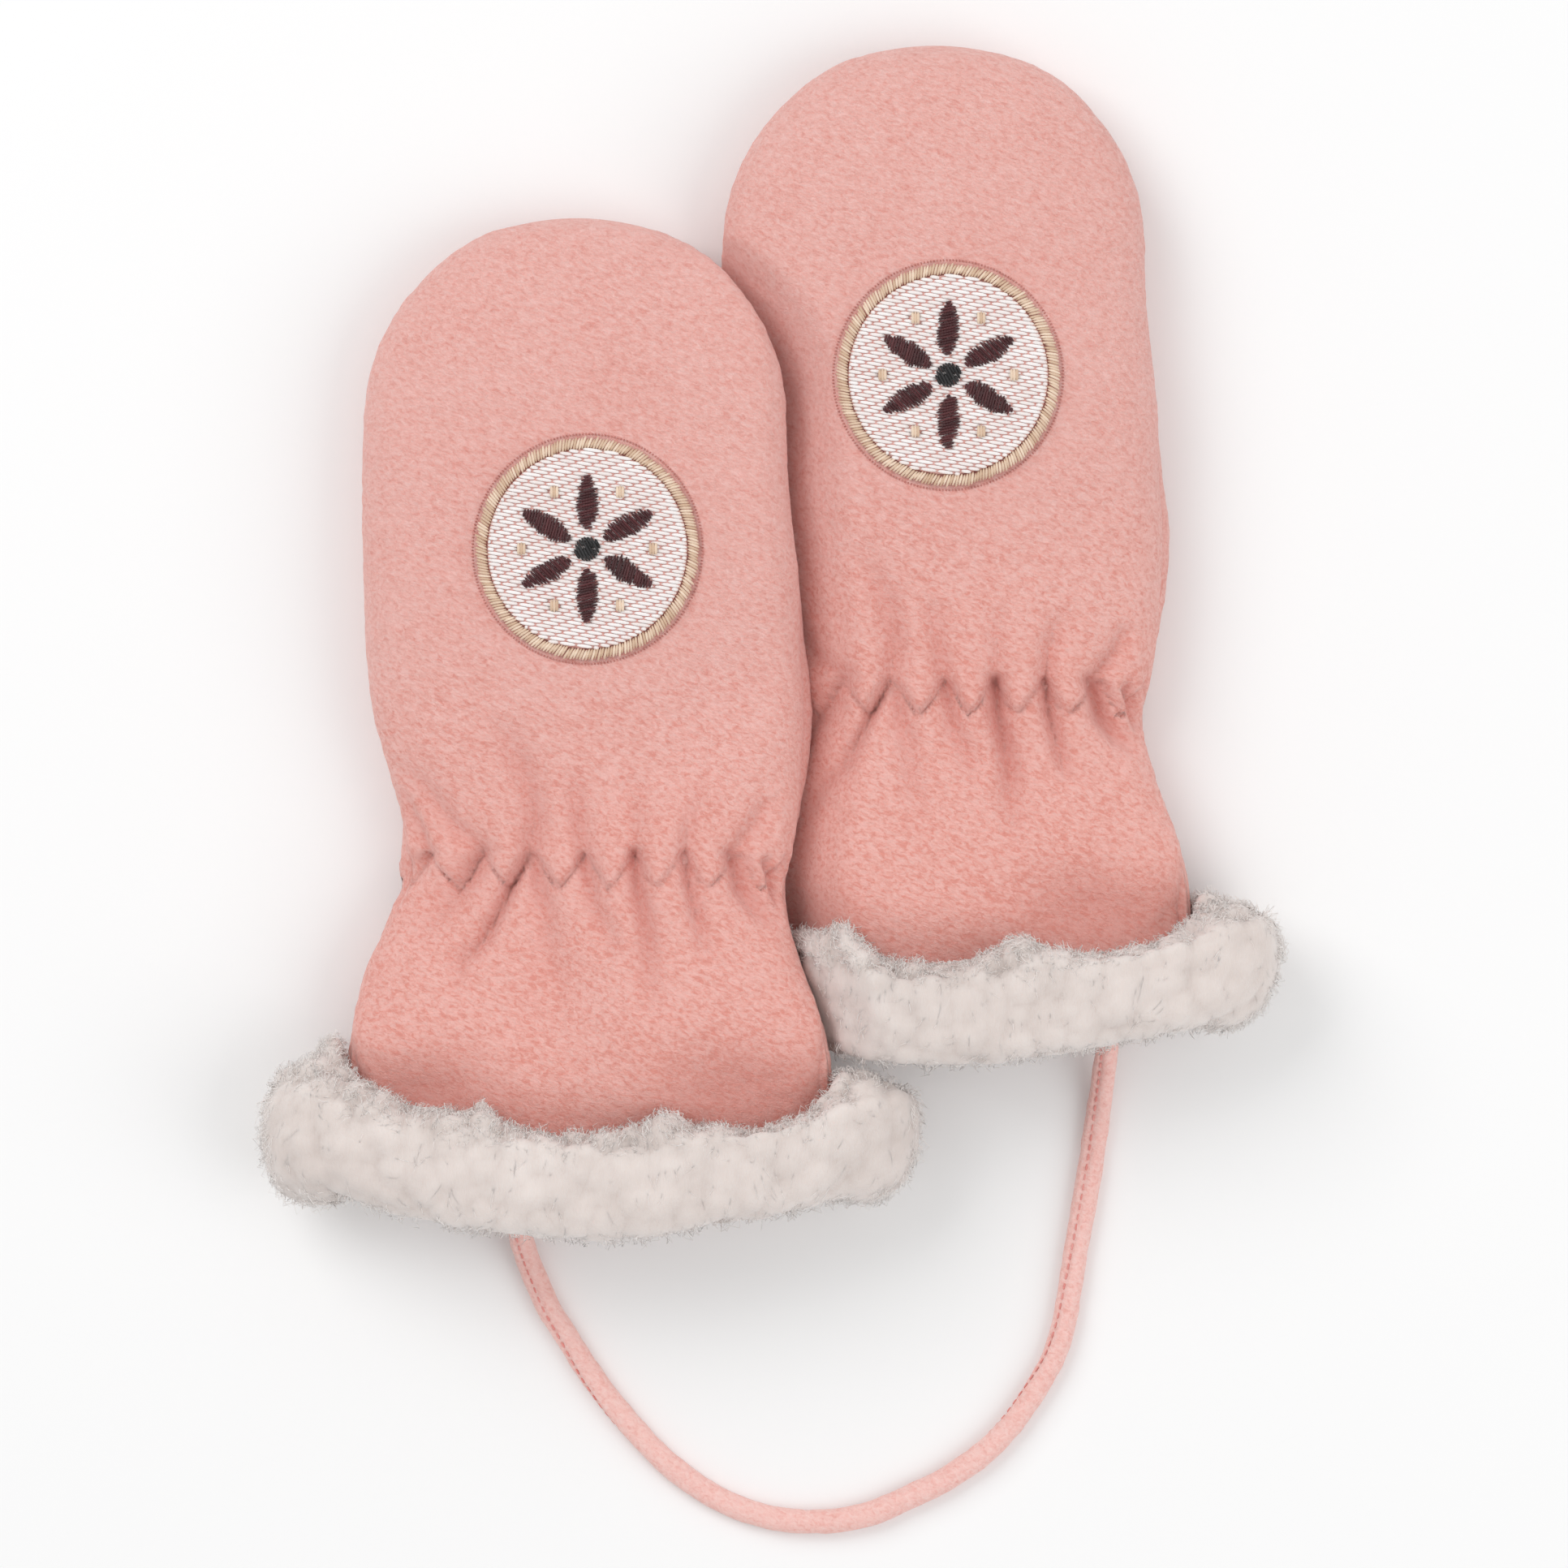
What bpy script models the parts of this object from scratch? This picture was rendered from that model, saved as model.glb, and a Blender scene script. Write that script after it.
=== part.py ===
"""A pair of baby's fleece mittens on one cord, laid flat, the left one over the edge of the right.

Each mitten is a back panel and a palm panel sewn round the hand and drawn in at the wrist,
with a fur cuff round its mouth and a round embroidered badge on its back.
A mitten is worked out in its own frame, in millimetres: across, along from the fingertips,
and up from the surface that it lies on. It is then placed, draped and written in metres.
"""

import math
from collections import namedtuple

import bmesh
import bpy
import numpy as np

METRES_PER_MM = 0.001

# The plain form of a mitten: a row for each section, from the end of the rounded tip to past the mouth.
Section = namedtuple("Section", "along left right top under seam")
SECTIONS = (
    Section(30, -33.4, 29.3, 18.4, 0.0, 7.6),
    Section(42, -33.5, 29.6, 19.0, 0.0, 7.8),
    Section(54, -33.5, 31.0, 19.0, 0.0, 7.8),
    Section(66, -32.9, 31.6, 18.8, 0.0, 7.6),
    Section(76, -31.4, 31.8, 18.2, 0.0, 7.4),
    Section(86, -28.8, 31.2, 17.4, 0.0, 7.0),
    Section(93, -27.1, 30.2, 16.8, 0.0, 6.8),
    Section(99, -26.7, 29.3, 16.5, 0.0, 6.8),
    Section(105, -29.6, 29.8, 16.7, 0.4, 7.2),
    Section(111, -32.8, 31.6, 17.2, 1.2, 8.2),
    Section(117, -34.6, 33.9, 17.9, 2.4, 9.4),
    Section(124, -35.6, 35.7, 18.6, 3.7, 10.8),
    Section(131, -36.0, 36.4, 19.0, 4.5, 11.6),
    Section(160, -36.0, 36.4, 19.0, 4.5, 11.6),
)
TIP_CENTRE = -1.8
TIP_HEIGHT = 6.5
TIP_LENGTH = 30.0
TIP_UNDERSIDE_LENGTH = 14.0
BACK_ROUNDNESS = 2.5
PALM_ROUNDNESS = 4.0
RESTING_FLAT = 0.25
WALL = 2.4
SEAM_GAP = 0.3

# Where the palm panel shows past the back panel, seen from above.
Bulge = namedtuple("Bulge", "side along reach length")
PALM_BULGES = (
    Bulge(1, 74.0, 1.4, 13.0),
    Bulge(-1, 99.0, 2.2, 5.5),
)

# The gathers: elastic draws the wrist in along a line, and the cloth folds over it in points.
WRIST_LINE = 97.4
POINT_DEPTH = 1.9
BACK_POINTS_ACROSS = (-26.2, -19.2, -11.6, -4.1, 3.4, 10.1, 17.8, 26.3)
PALM_POINTS = 8
PALM_UNEVENNESS = 0.12
FOLD_ABOVE = 1.0
FOLD_BELOW = 0.9
FOLD_CRISPNESS = 1.3
FADE_ABOVE = 9.0
FADE_BELOW = 7.0
POUCH = 0.9
POUCH_RISE = 2.0
PINCH = 1.1
PINCH_WIDTH = 1.5
INNER_FOLD_SHARE = 0.7
STEPS_PER_FOLD = 4
SEAM_COLUMN = 0.45

# Rows of points along a mitten: the rounded tip by angle, then distances, then shares of the way to the hem.
TIP_ROW_ANGLES = (12, 25, 39, 53, 67, 80)
ROWS = (32, 42, 53, 64, 74, 83, 88.5, 92.2, 94.8, 96.4, 97.4, 98.5, 100.2, 102.8, 106.4, 111, 117)
HEM_ROW_SHARES = (0.35, 0.7, 1.0)
LAST_ROW = ROWS[-1]
ROW_FOLLOWS_POINTS_WITHIN = 6.0

# The cuff: fur that laps over the panels' edges and rounds over the mouth.
BACK_HEM = 141.0
BACK_HEM_DROP = 6.0
PALM_HEM = 135.0
PALM_HEM_DROP = 1.5
CORNER_DROP = 3.0
BACK_CUFF_LENGTH = 11.0
SIDE_CUFF_LENGTH = 15.0
PALM_CUFF_LENGTH = 10.5
BACK_PILE = 8.5
SIDE_PILE = 12.6
PALM_PILE = 4.5
CUFF_LAP = 4.6
LEFT_CREST = 5.4
RIGHT_CREST = 0.6
CUFF_GAP = 0.8

# The badge, on the back of the hand.
BADGE_ALONG = 49.8
BADGE_RADIUS = 16.4
RIM_WIDTH = 1.9
BADGE_GAP = 0.3
BADGE_THICKNESS = 0.7
RIM_THICKNESS = 1.3
BADGE_RINGS = (0.5, 1.0)
BADGE_SEGMENTS = 30
RIM_SEGMENTS = 40

# Where each mitten's tip lies, and how the left one rides over the right.
LEFT_TIP = (-26.77, 63.24)
RIGHT_TIP = (26.27, 88.80)
SQUEEZE_PER_MM = 0.03
PRESS_INSIDE_EDGE = 3.0
PRESS_RUN = 13.0

# The overlap, measured in the right mitten's frame: where the left one's lift begins, over what width
# it grows and how high, and the share of its height that the right one keeps underneath.
Overlap = namedtuple("Overlap", "along across run lift kept")
OVERLAPS = (
    Overlap(20, -42.0, 16.0, 9.4, 0.50),
    Overlap(50, -42.0, 16.0, 9.4, 0.50),
    Overlap(70, -41.0, 15.0, 8.4, 0.50),
    Overlap(85, -38.0, 14.0, 7.2, 0.50),
    Overlap(97, -36.0, 14.0, 6.2, 0.50),
    Overlap(108, -44.0, 16.0, 6.9, 0.48),
    Overlap(118, -58.0, 18.0, 8.4, 0.46),
    Overlap(130, -63.0, 20.0, 10.6, 0.45),
    Overlap(140, -62.0, 20.0, 11.4, 0.45),
    Overlap(149, -62.0, 20.0, 10.4, 0.45),
    Overlap(165, -62.0, 20.0, 0.0, 0.45),
)

# The cord: its middle line, from inside the left cuff, over the surface and into the right cuff.
CORD_RADIUS = 1.8
CORD_REST = CORD_RADIUS + 0.05
CORD_STEP = 6.5
CORD_BEVEL_RESOLUTION = 2
CORD_ROUTE = (
    (-38.0, -73.0, 9.2),
    (-37.7, -78.0, 9.3),
    (-37.4, -83.0, 8.2),
    (-37.0, -88.0, 4.6),
    (-36.0, -91.5, 2.5),
    (-34.8, -94.5, CORD_REST),
    (-33.3, -98.0, CORD_REST),
    (-30.2, -103.2, CORD_REST),
    (-26.4, -109.2, CORD_REST),
    (-21.6, -115.3, CORD_REST),
    (-16.0, -121.3, CORD_REST),
    (-9.0, -126.6, CORD_REST),
    (-1.4, -129.8, CORD_REST),
    (6.6, -130.8, CORD_REST),
    (14.3, -129.8, CORD_REST),
    (21.0, -127.0, CORD_REST),
    (27.0, -124.0, CORD_REST),
    (31.9, -120.5, CORD_REST),
    (35.4, -117.0, CORD_REST),
    (39.0, -112.0, CORD_REST),
    (42.2, -106.4, CORD_REST),
    (43.8, -101.0, CORD_REST),
    (44.8, -95.0, CORD_REST),
    (46.0, -88.0, CORD_REST),
    (47.2, -81.0, CORD_REST),
    (48.3, -74.0, CORD_REST),
    (49.2, -67.5, 2.6),
    (49.8, -62.5, 5.2),
    (50.2, -58.0, 8.3),
    (50.4, -53.0, 9.3),
    (50.4, -48.0, 9.2),
)

FLEECE = ("pink_fleece", (0.86, 0.44, 0.40), 0.95)
FUR = ("white_fur", (0.86, 0.83, 0.81), 0.95)
CREAM_THREAD = ("cream_thread", (0.84, 0.79, 0.75), 0.6)
TAN_THREAD = ("tan_thread", (0.58, 0.42, 0.28), 0.5)


def smooth_step(share):
    share = min(max(share, 0.0), 1.0)
    return share * share * (3 - 2 * share)


def curve_through(places, values, at):
    """A smooth curve through a column of a table, read at one place."""
    at = min(max(at, places[0]), places[-1])
    slopes = np.gradient(values, places)
    i = min(int(np.searchsorted(places, at, side="right")) - 1, len(places) - 2)
    step = places[i + 1] - places[i]
    t = (at - places[i]) / step
    start = (1 + 2 * t) * (1 - t) ** 2 * values[i] + t * (1 - t) ** 2 * step * slopes[i]
    end = t * t * (3 - 2 * t) * values[i + 1] - t * t * (1 - t) * step * slopes[i + 1]
    return start + end


PLACES = [section.along for section in SECTIONS]
COLUMNS = {name: [getattr(section, name) for section in SECTIONS] for name in Section._fields}


def nose(along, length):
    """How much of its full size a rounded end has reached: an ellipse's quarter."""
    return math.sqrt(max(0.0, 1 - (1 - min(max(along / length, 0.0), 1.0)) ** 2))


def section_at(along):
    """The plain section there, with the fingertips rounded off."""
    found = {name: curve_through(PLACES, COLUMNS[name], along) for name in Section._fields}
    if along >= TIP_LENGTH:
        return Section(**found)
    grown = nose(along, TIP_LENGTH)
    seam = TIP_HEIGHT + (found["seam"] - TIP_HEIGHT) * grown
    return Section(
        along=along,
        left=TIP_CENTRE + (found["left"] - TIP_CENTRE) * grown,
        right=TIP_CENTRE + (found["right"] - TIP_CENTRE) * grown,
        top=TIP_HEIGHT + (found["top"] - TIP_HEIGHT) * grown,
        under=seam * (1 - nose(along, TIP_UNDERSIDE_LENGTH)),
        seam=seam,
    )


def palm_bulge(side, along, lobe):
    """How far the palm panel swells past the seam, between the seam and the underside."""
    swell = math.sin(math.pi * min(1.0, lobe))
    return sum(
        b.reach * swell * math.exp(-(((along - b.along) / b.length) ** 2))
        for b in PALM_BULGES
        if b.side == side
    )


def plain_point(angle, along):
    """A point of the outer form. The angle runs over the back from the left seam, then under the palm."""
    section = section_at(along)
    middle = (section.left + section.right) / 2
    half = (section.right - section.left) / 2
    share = -math.cos(angle)
    on_back = math.sin(angle) >= 0
    roundness = BACK_ROUNDNESS if on_back else PALM_ROUNDNESS
    lobe = max(0.0, 1 - abs(share) ** roundness) ** (1 / roundness)
    across = middle + half * share
    if on_back:
        return np.array((across, -along, section.seam + (section.top - section.seam) * lobe))
    side = 1 if share > 0 else -1
    across += side * palm_bulge(side, along, lobe)
    return np.array((across, -along, section.seam - (section.seam - section.under + RESTING_FLAT) * lobe))


def outward(angle, along):
    """The direction straight out of the plain form."""
    if along <= 0:
        return np.array((0.0, 1.0, 0.0))
    turn, stride = 0.02, min(0.4, along / 2)
    round_it = plain_point(angle + turn, along) - plain_point(angle - turn, along)
    down_it = plain_point(angle, along + stride) - plain_point(angle, along - stride)
    normal = np.cross(down_it, round_it)
    return normal / np.linalg.norm(normal)


def angle_on_back(across, along):
    section = section_at(along)
    share = (2 * across - section.left - section.right) / (section.right - section.left)
    return math.acos(-min(max(share, -1.0), 1.0))


BACK_POINT_ANGLES = [angle_on_back(across, WRIST_LINE) for across in BACK_POINTS_ACROSS]
BACK_FOLDS = (
    [0.0, *BACK_POINT_ANGLES, math.pi],
    [-0.5, *range(len(BACK_POINTS_ACROSS)), float(len(BACK_POINTS_ACROSS))],
)
PALM_FOLDS = (
    [
        math.pi * (1 + (i + 0.5 + PALM_UNEVENNESS * math.sin(5 * i)) / PALM_POINTS)
        for i in range(PALM_POINTS)
    ],
    list(range(PALM_POINTS)),
)
PALM_FOLDS = (
    [math.pi, *PALM_FOLDS[0], 2 * math.pi],
    [-0.5, *PALM_FOLDS[1], PALM_POINTS - 0.5],
)


def fold_wave(angle):
    """1 at the tip of a gather's point, and -1 between two points."""
    angle %= 2 * math.pi
    angles, numbers = BACK_FOLDS if angle <= math.pi else PALM_FOLDS
    return math.cos(2 * math.pi * float(np.interp(angle, angles, numbers)))


def columns_of(folds):
    """The angles of a panel's columns: some for each fold, and one more beside each seam."""
    angles, numbers = folds
    count = round((numbers[-1] - numbers[0]) * STEPS_PER_FOLD)
    found = [float(np.interp(n, numbers, angles)) for n in np.linspace(numbers[0], numbers[-1], count + 1)]
    found.insert(1, found[0] + SEAM_COLUMN * (found[1] - found[0]))
    found.insert(-1, found[-1] + SEAM_COLUMN * (found[-2] - found[-1]))
    return found


def gather(angle, along):
    """How far the drawn-in cloth stands out from the plain form, in mm."""
    wave = fold_wave(angle)
    above = WRIST_LINE + POINT_DEPTH * wave - along
    if above >= 0:
        folds = wave * FOLD_ABOVE * (1 - math.exp(-above / FOLD_CRISPNESS)) * math.exp(-above / FADE_ABOVE)
        folds += POUCH * (1 - math.exp(-above / POUCH_RISE)) * math.exp(-above / FADE_ABOVE)
    else:
        folds = wave * FOLD_BELOW * (1 - math.exp(above / FOLD_CRISPNESS)) * math.exp(above / FADE_BELOW)
    pinch = PINCH * math.exp(-((above / PINCH_WIDTH) ** 2))
    return (folds - pinch) * smooth_step(abs(math.sin(angle)) / 0.35)


def outer_point(angle, along):
    point = plain_point(angle, along) + gather(angle, along) * outward(angle, along)
    point[2] = max(0.0, point[2])
    return point


def inner_point(angle, along):
    moved = INNER_FOLD_SHARE * gather(angle, along) - WALL
    return plain_point(angle, along) + moved * outward(angle, along)


def hem_at(angle):
    """How far along a panel's lower edge lies. It hangs lowest at the middle of the back."""
    share = abs(math.cos(angle))
    corner = CORNER_DROP * share**12
    if math.sin(angle) >= 0:
        return BACK_HEM - BACK_HEM_DROP * share**1.6 - corner
    sides = BACK_HEM - BACK_HEM_DROP
    return PALM_HEM - PALM_HEM_DROP * share**2 + (sides - PALM_HEM + PALM_HEM_DROP) * share**6 - corner


def row_along(row, angle):
    """How far along a row of points lies at one angle. Rows by the wrist follow the gathers' points."""
    if row < len(TIP_ROW_ANGLES):
        return TIP_LENGTH * (1 - math.cos(math.radians(TIP_ROW_ANGLES[row])))
    row -= len(TIP_ROW_ANGLES)
    if row < len(ROWS):
        follow = math.exp(-(((ROWS[row] - WRIST_LINE) / ROW_FOLLOWS_POINTS_WITHIN) ** 2))
        return ROWS[row] + follow * POINT_DEPTH * fold_wave(angle)
    return LAST_ROW + (hem_at(angle) - LAST_ROW) * HEM_ROW_SHARES[row - len(ROWS)]


ROW_COUNT = len(TIP_ROW_ANGLES) + len(ROWS) + len(HEM_ROW_SHARES)


def overlap_at(along):
    places = [row.along for row in OVERLAPS]
    columns = zip(*(row[1:] for row in OVERLAPS), strict=True)
    return Overlap(along, *(curve_through(places, column, along) for column in columns))


def ride(across, along):
    """How high the left mitten is lifted by the right one. Both are measured in the right one's frame."""
    overlap = overlap_at(along)
    return overlap.lift * smooth_step((across - overlap.across) / overlap.run)


def press(across, along):
    """The share of its height that the right mitten keeps under the left one."""
    left_along = along - (RIGHT_TIP[1] - LEFT_TIP[1])
    edge = section_at(max(left_along, 0.0)).right - (RIGHT_TIP[0] - LEFT_TIP[0])
    covered = 1 - smooth_step((across - edge + PRESS_INSIDE_EDGE) / PRESS_RUN)
    return 1 - (1 - overlap_at(along).kept) * covered


def place_left(point):
    x, y, z = point[0] + LEFT_TIP[0], point[1] + LEFT_TIP[1], point[2]
    lift = ride(x - RIGHT_TIP[0], RIGHT_TIP[1] - y)
    return x, y, lift + z * (1 - SQUEEZE_PER_MM * lift)


def place_right(point):
    x, y, z = point[0] + RIGHT_TIP[0], point[1] + RIGHT_TIP[1], point[2]
    return x, y, z * press(point[0], -point[1])


def finish_for(name, colour, roughness):
    material = bpy.data.materials.get(name) or bpy.data.materials.new(name)
    material.use_nodes = True
    shader = material.node_tree.nodes["Principled BSDF"]
    shader.inputs["Base Color"].default_value = (*colour, 1.0)
    shader.inputs["Roughness"].default_value = roughness
    shader.inputs["Metallic"].default_value = 0.0
    return material


def add_solid(name, points, faces, finish):
    """One named object from placed points."""
    mesh = bpy.data.meshes.new(name)
    mesh.from_pydata([[METRES_PER_MM * value for value in point] for point in points], [], faces)
    work = bmesh.new()
    work.from_mesh(mesh)
    bmesh.ops.recalc_face_normals(work, faces=work.faces)
    bmesh.ops.triangulate(work, faces=work.faces)
    work.to_mesh(mesh)
    work.free()
    mesh.shade_smooth()
    mesh.materials.append(finish_for(*finish))
    solid = bpy.data.objects.new(name, mesh)
    bpy.context.scene.collection.objects.link(solid)
    return solid


class Sheet:
    """A sheet of cloth with a pole at the fingertips and rows below it, as points and faces."""

    def __init__(self, pole, rows, place):
        self.points = [place(point) for point in (pole, *(point for row in rows for point in row))]
        self.width = len(rows[0])
        self.rows = len(rows)

    def index(self, row, column):
        return 1 + row * self.width + column

    def faces(self, start):
        fan = [(start, start + self.index(0, c), start + self.index(0, c + 1)) for c in range(self.width - 1)]
        body = [
            tuple(
                start + self.index(r, c)
                for r, c in ((row, column), (row + 1, column), (row + 1, column + 1), (row, column + 1))
            )
            for row in range(self.rows - 1)
            for column in range(self.width - 1)
        ]
        return fan + body

    def border(self):
        """The points round the edge: down the left seam from the pole, along the hem, and back up."""
        left = [self.index(row, 0) for row in range(self.rows)]
        hem = [self.index(self.rows - 1, column) for column in range(1, self.width)]
        right = [self.index(row, self.width - 1) for row in range(self.rows - 2, -1, -1)]
        return [0, *left, *hem, *right]


def edge_faces(outer, inner, start):
    """The cut edge of a panel: each step of the inner border spans two of the outer border."""
    faces = []
    for i in range(len(inner)):
        a, b, c = (outer[(2 * i + k) % len(outer)] for k in range(3))
        d, e = (start + inner[(i + k) % len(inner)] for k in range(2))
        faces += [(a, b, d), (b, e, d), (b, c, e)]
    return faces


def make_panel(name, folds, parting, place):
    """A panel as a closed wall. Its inner side has half as many rows and columns as its outer side."""
    angles = columns_of(folds)
    outer_rows = [[outer_point(a, row_along(row, a)) for a in angles] for row in range(ROW_COUNT)]
    inner_rows = [
        [inner_point(a, row_along(row, a)) for a in angles[::2]] for row in range(1, ROW_COUNT, 2)
    ]
    outer = Sheet(plain_point(0.0, 0.0), outer_rows, place)
    inner = Sheet(plain_point(0.0, 0.0) - WALL * outward(0.0, 0.0), inner_rows, place)
    for sheet in (outer, inner):
        last = sheet.width - 1
        for i in [0, *(sheet.index(row, c) for row in range(sheet.rows) for c in (0, last))]:
            x, y, z = sheet.points[i]
            sheet.points[i] = (x, y, z + parting * SEAM_GAP / 2)
    start = len(outer.points)
    faces = outer.faces(0) + inner.faces(start)
    faces += edge_faces(outer.border(), inner.border(), start)
    return add_solid(name, outer.points + inner.points, faces, FLEECE)


def tube_faces(rings, sides):
    """Faces of a ring-shaped tube, from the number of its cross-sections and of points in each."""
    return [
        tuple(
            (r % rings) * sides + c % sides
            for r, c in ((ring, side), (ring + 1, side), (ring + 1, side + 1), (ring, side + 1))
        )
        for ring in range(rings)
        for side in range(sides)
    ]


def cuff_outline(pile, length, crest):
    """The cuff's cross-section: distance out from the panel's outer side, and distance past its edge."""
    return (
        (-WALL, CUFF_GAP),
        (-WALL, 0.5 * length),
        (-WALL + 0.7, 0.82 * length),
        (0.3 * pile, length),
        (0.76 * pile, 0.86 * length),
        (pile, 0.45 * length),
        (pile, -1.5 - 0.35 * crest),
        (0.8 * pile, -0.8 * CUFF_LAP - 0.75 * crest),
        (0.45 * pile, -CUFF_LAP - crest),
        (0.15 * pile, -CUFF_LAP - 0.7 * crest),
        (CUFF_GAP, -CUFF_LAP),
        (CUFF_GAP, CUFF_GAP),
    )


def make_cuff(name, place):
    """The fur ring round the mouth, lapping over the panels' edges."""
    angles = columns_of(BACK_FOLDS) + columns_of(PALM_FOLDS)[1:-1]
    points = []
    for angle in angles:
        hem = hem_at(angle)
        direction = outward(angle, hem)
        sideways = direction[0] ** 2
        on_back = direction[2] >= 0
        pile, length = (BACK_PILE, BACK_CUFF_LENGTH) if on_back else (PALM_PILE, PALM_CUFF_LENGTH)
        pile += (SIDE_PILE - pile) * sideways
        length += (SIDE_CUFF_LENGTH - length) * sideways
        crest = sideways * (LEFT_CREST if direction[0] < 0 else RIGHT_CREST)
        outline = cuff_outline(pile, length, crest)
        for out, past in outline:
            point = plain_point(angle, hem + past) + out * direction
            point[2] = max(0.0, point[2])
            points.append(place(point))
    return add_solid(name, points, tube_faces(len(angles), len(outline)), FUR)


def on_badge(radius, turn, height):
    """A point over the back panel, at a distance and a direction from the badge's middle."""
    across = radius * math.cos(turn)
    along = BADGE_ALONG + radius * math.sin(turn)
    angle = angle_on_back(across, along)
    return outer_point(angle, along) + height * outward(angle, along)


def make_badge_ground(name, place):
    """The badge's thin round patch, following the back panel."""
    radius = BADGE_RADIUS - RIM_WIDTH - BADGE_GAP
    turns = [2 * math.pi * i / BADGE_SEGMENTS for i in range(BADGE_SEGMENTS)]
    points, faces = [], []
    for height in (BADGE_GAP, BADGE_GAP + BADGE_THICKNESS):
        points.append(on_badge(0.0, 0.0, height))
        points += [on_badge(radius * share, turn, height) for share in BADGE_RINGS for turn in turns]
    layer = len(points) // 2
    for base in (0, layer):
        for i in range(BADGE_SEGMENTS):
            j = (i + 1) % BADGE_SEGMENTS
            faces.append((base, base + 1 + i, base + 1 + j))
            inner, outer = base + 1, base + 1 + BADGE_SEGMENTS
            faces.append((inner + i, outer + i, outer + j, inner + j))
    rim = 1 + BADGE_SEGMENTS
    for i in range(BADGE_SEGMENTS):
        j = (i + 1) % BADGE_SEGMENTS
        faces.append((rim + i, rim + j, layer + rim + j, layer + rim + i))
    return add_solid(name, [place(point) for point in points], faces, CREAM_THREAD)


def make_badge_rim(name, place):
    """The raised band of satin stitch round the badge."""
    inside, outside = BADGE_RADIUS - RIM_WIDTH, BADGE_RADIUS
    top = BADGE_GAP + RIM_THICKNESS
    outline = (
        (inside, BADGE_GAP),
        (inside, 0.75 * top),
        (inside + RIM_WIDTH / 2, top),
        (outside, 0.65 * top),
        (outside, BADGE_GAP),
    )
    points = [
        place(on_badge(radius, 2 * math.pi * i / RIM_SEGMENTS, height))
        for i in range(RIM_SEGMENTS)
        for radius, height in outline
    ]
    return add_solid(name, points, tube_faces(RIM_SEGMENTS, len(outline)), TAN_THREAD)


def make_mitten(name, place):
    make_panel(f"{name}_back_panel", BACK_FOLDS, 1, place)
    make_panel(f"{name}_palm_panel", PALM_FOLDS, -1, place)
    make_cuff(f"{name}_fur_cuff", place)
    make_badge_ground(f"{name}_badge_ground", place)
    make_badge_rim(f"{name}_badge_rim", place)


def cord_points():
    """Evenly spaced points on a smooth curve through the cord's route."""
    route = np.array(CORD_ROUTE)
    places = np.concatenate([[0], np.cumsum(np.linalg.norm(np.diff(route, axis=0), axis=1))])
    count = round(places[-1] / CORD_STEP)
    return [
        [curve_through(places, route[:, axis], at) for axis in range(3)]
        for at in np.linspace(0, places[-1], count + 1)
    ]


def make_cord():
    """The cord that joins the mittens, as a plain round tube."""
    curve = bpy.data.curves.new("cord", "CURVE")
    curve.dimensions = "3D"
    curve.bevel_depth = CORD_RADIUS * METRES_PER_MM
    curve.bevel_resolution = CORD_BEVEL_RESOLUTION
    curve.use_fill_caps = True
    points = cord_points()
    spline = curve.splines.new("POLY")
    spline.points.add(len(points) - 1)
    for spot, point in zip(spline.points, points, strict=True):
        spot.co = (*(value * METRES_PER_MM for value in point), 1.0)
    curve.materials.append(finish_for(*FLEECE))
    bpy.context.scene.collection.objects.link(bpy.data.objects.new("cord", curve))


def main():
    for old in list(bpy.data.objects):
        bpy.data.objects.remove(old)
    make_mitten("left", place_left)
    make_mitten("right", place_right)
    make_cord()


main()
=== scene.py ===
import math

import bpy
import numpy as np
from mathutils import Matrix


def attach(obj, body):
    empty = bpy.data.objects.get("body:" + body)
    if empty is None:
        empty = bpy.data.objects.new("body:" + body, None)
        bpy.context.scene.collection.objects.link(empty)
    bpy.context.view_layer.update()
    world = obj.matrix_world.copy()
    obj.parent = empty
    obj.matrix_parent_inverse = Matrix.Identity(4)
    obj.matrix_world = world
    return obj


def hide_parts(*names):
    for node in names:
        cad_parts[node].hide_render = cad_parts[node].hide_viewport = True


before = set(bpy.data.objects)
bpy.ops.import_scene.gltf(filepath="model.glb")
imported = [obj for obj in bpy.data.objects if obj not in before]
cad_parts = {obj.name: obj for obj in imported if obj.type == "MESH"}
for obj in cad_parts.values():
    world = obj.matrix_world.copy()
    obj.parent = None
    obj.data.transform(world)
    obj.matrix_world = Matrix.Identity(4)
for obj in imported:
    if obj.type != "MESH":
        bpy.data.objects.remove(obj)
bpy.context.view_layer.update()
print("the packed mittens are loaded")

mm = 0.001  # sizes below are in millimetres, and meshes are written in metres


# small helpers

def curveThrough(places, values, at):  # a smooth curve through a column of a table
    places, values = np.asarray(places, float), np.asarray(values, float)
    at = np.clip(at, places[0], places[-1])
    slopes = np.gradient(values, places)
    i = np.clip(np.searchsorted(places, at, side="right") - 1, 0, len(places) - 2)
    step = places[i + 1] - places[i]
    t = (at - places[i]) / step
    start = (1 + 2 * t) * (1 - t) ** 2 * values[i] + t * (1 - t) ** 2 * step * slopes[i]
    end = t * t * (3 - 2 * t) * values[i + 1] - t * t * (1 - t) * step * slopes[i + 1]
    return start + end


def smoothStep(share):
    share = np.clip(share, 0.0, 1.0)
    return share * share * (3 - 2 * share)


def unit(vectors):
    return vectors / np.maximum(np.linalg.norm(vectors, axis=-1, keepdims=True), 1e-9)


lattice = {
    "shift": 1000.0,  # keeps the number of every cell above zero
    "factors": (73856093, 19349663, 83492791), "seedFactor": 2654435, "stir": 1274126177,  # large and odd
    "levels": 65536,
}


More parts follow.
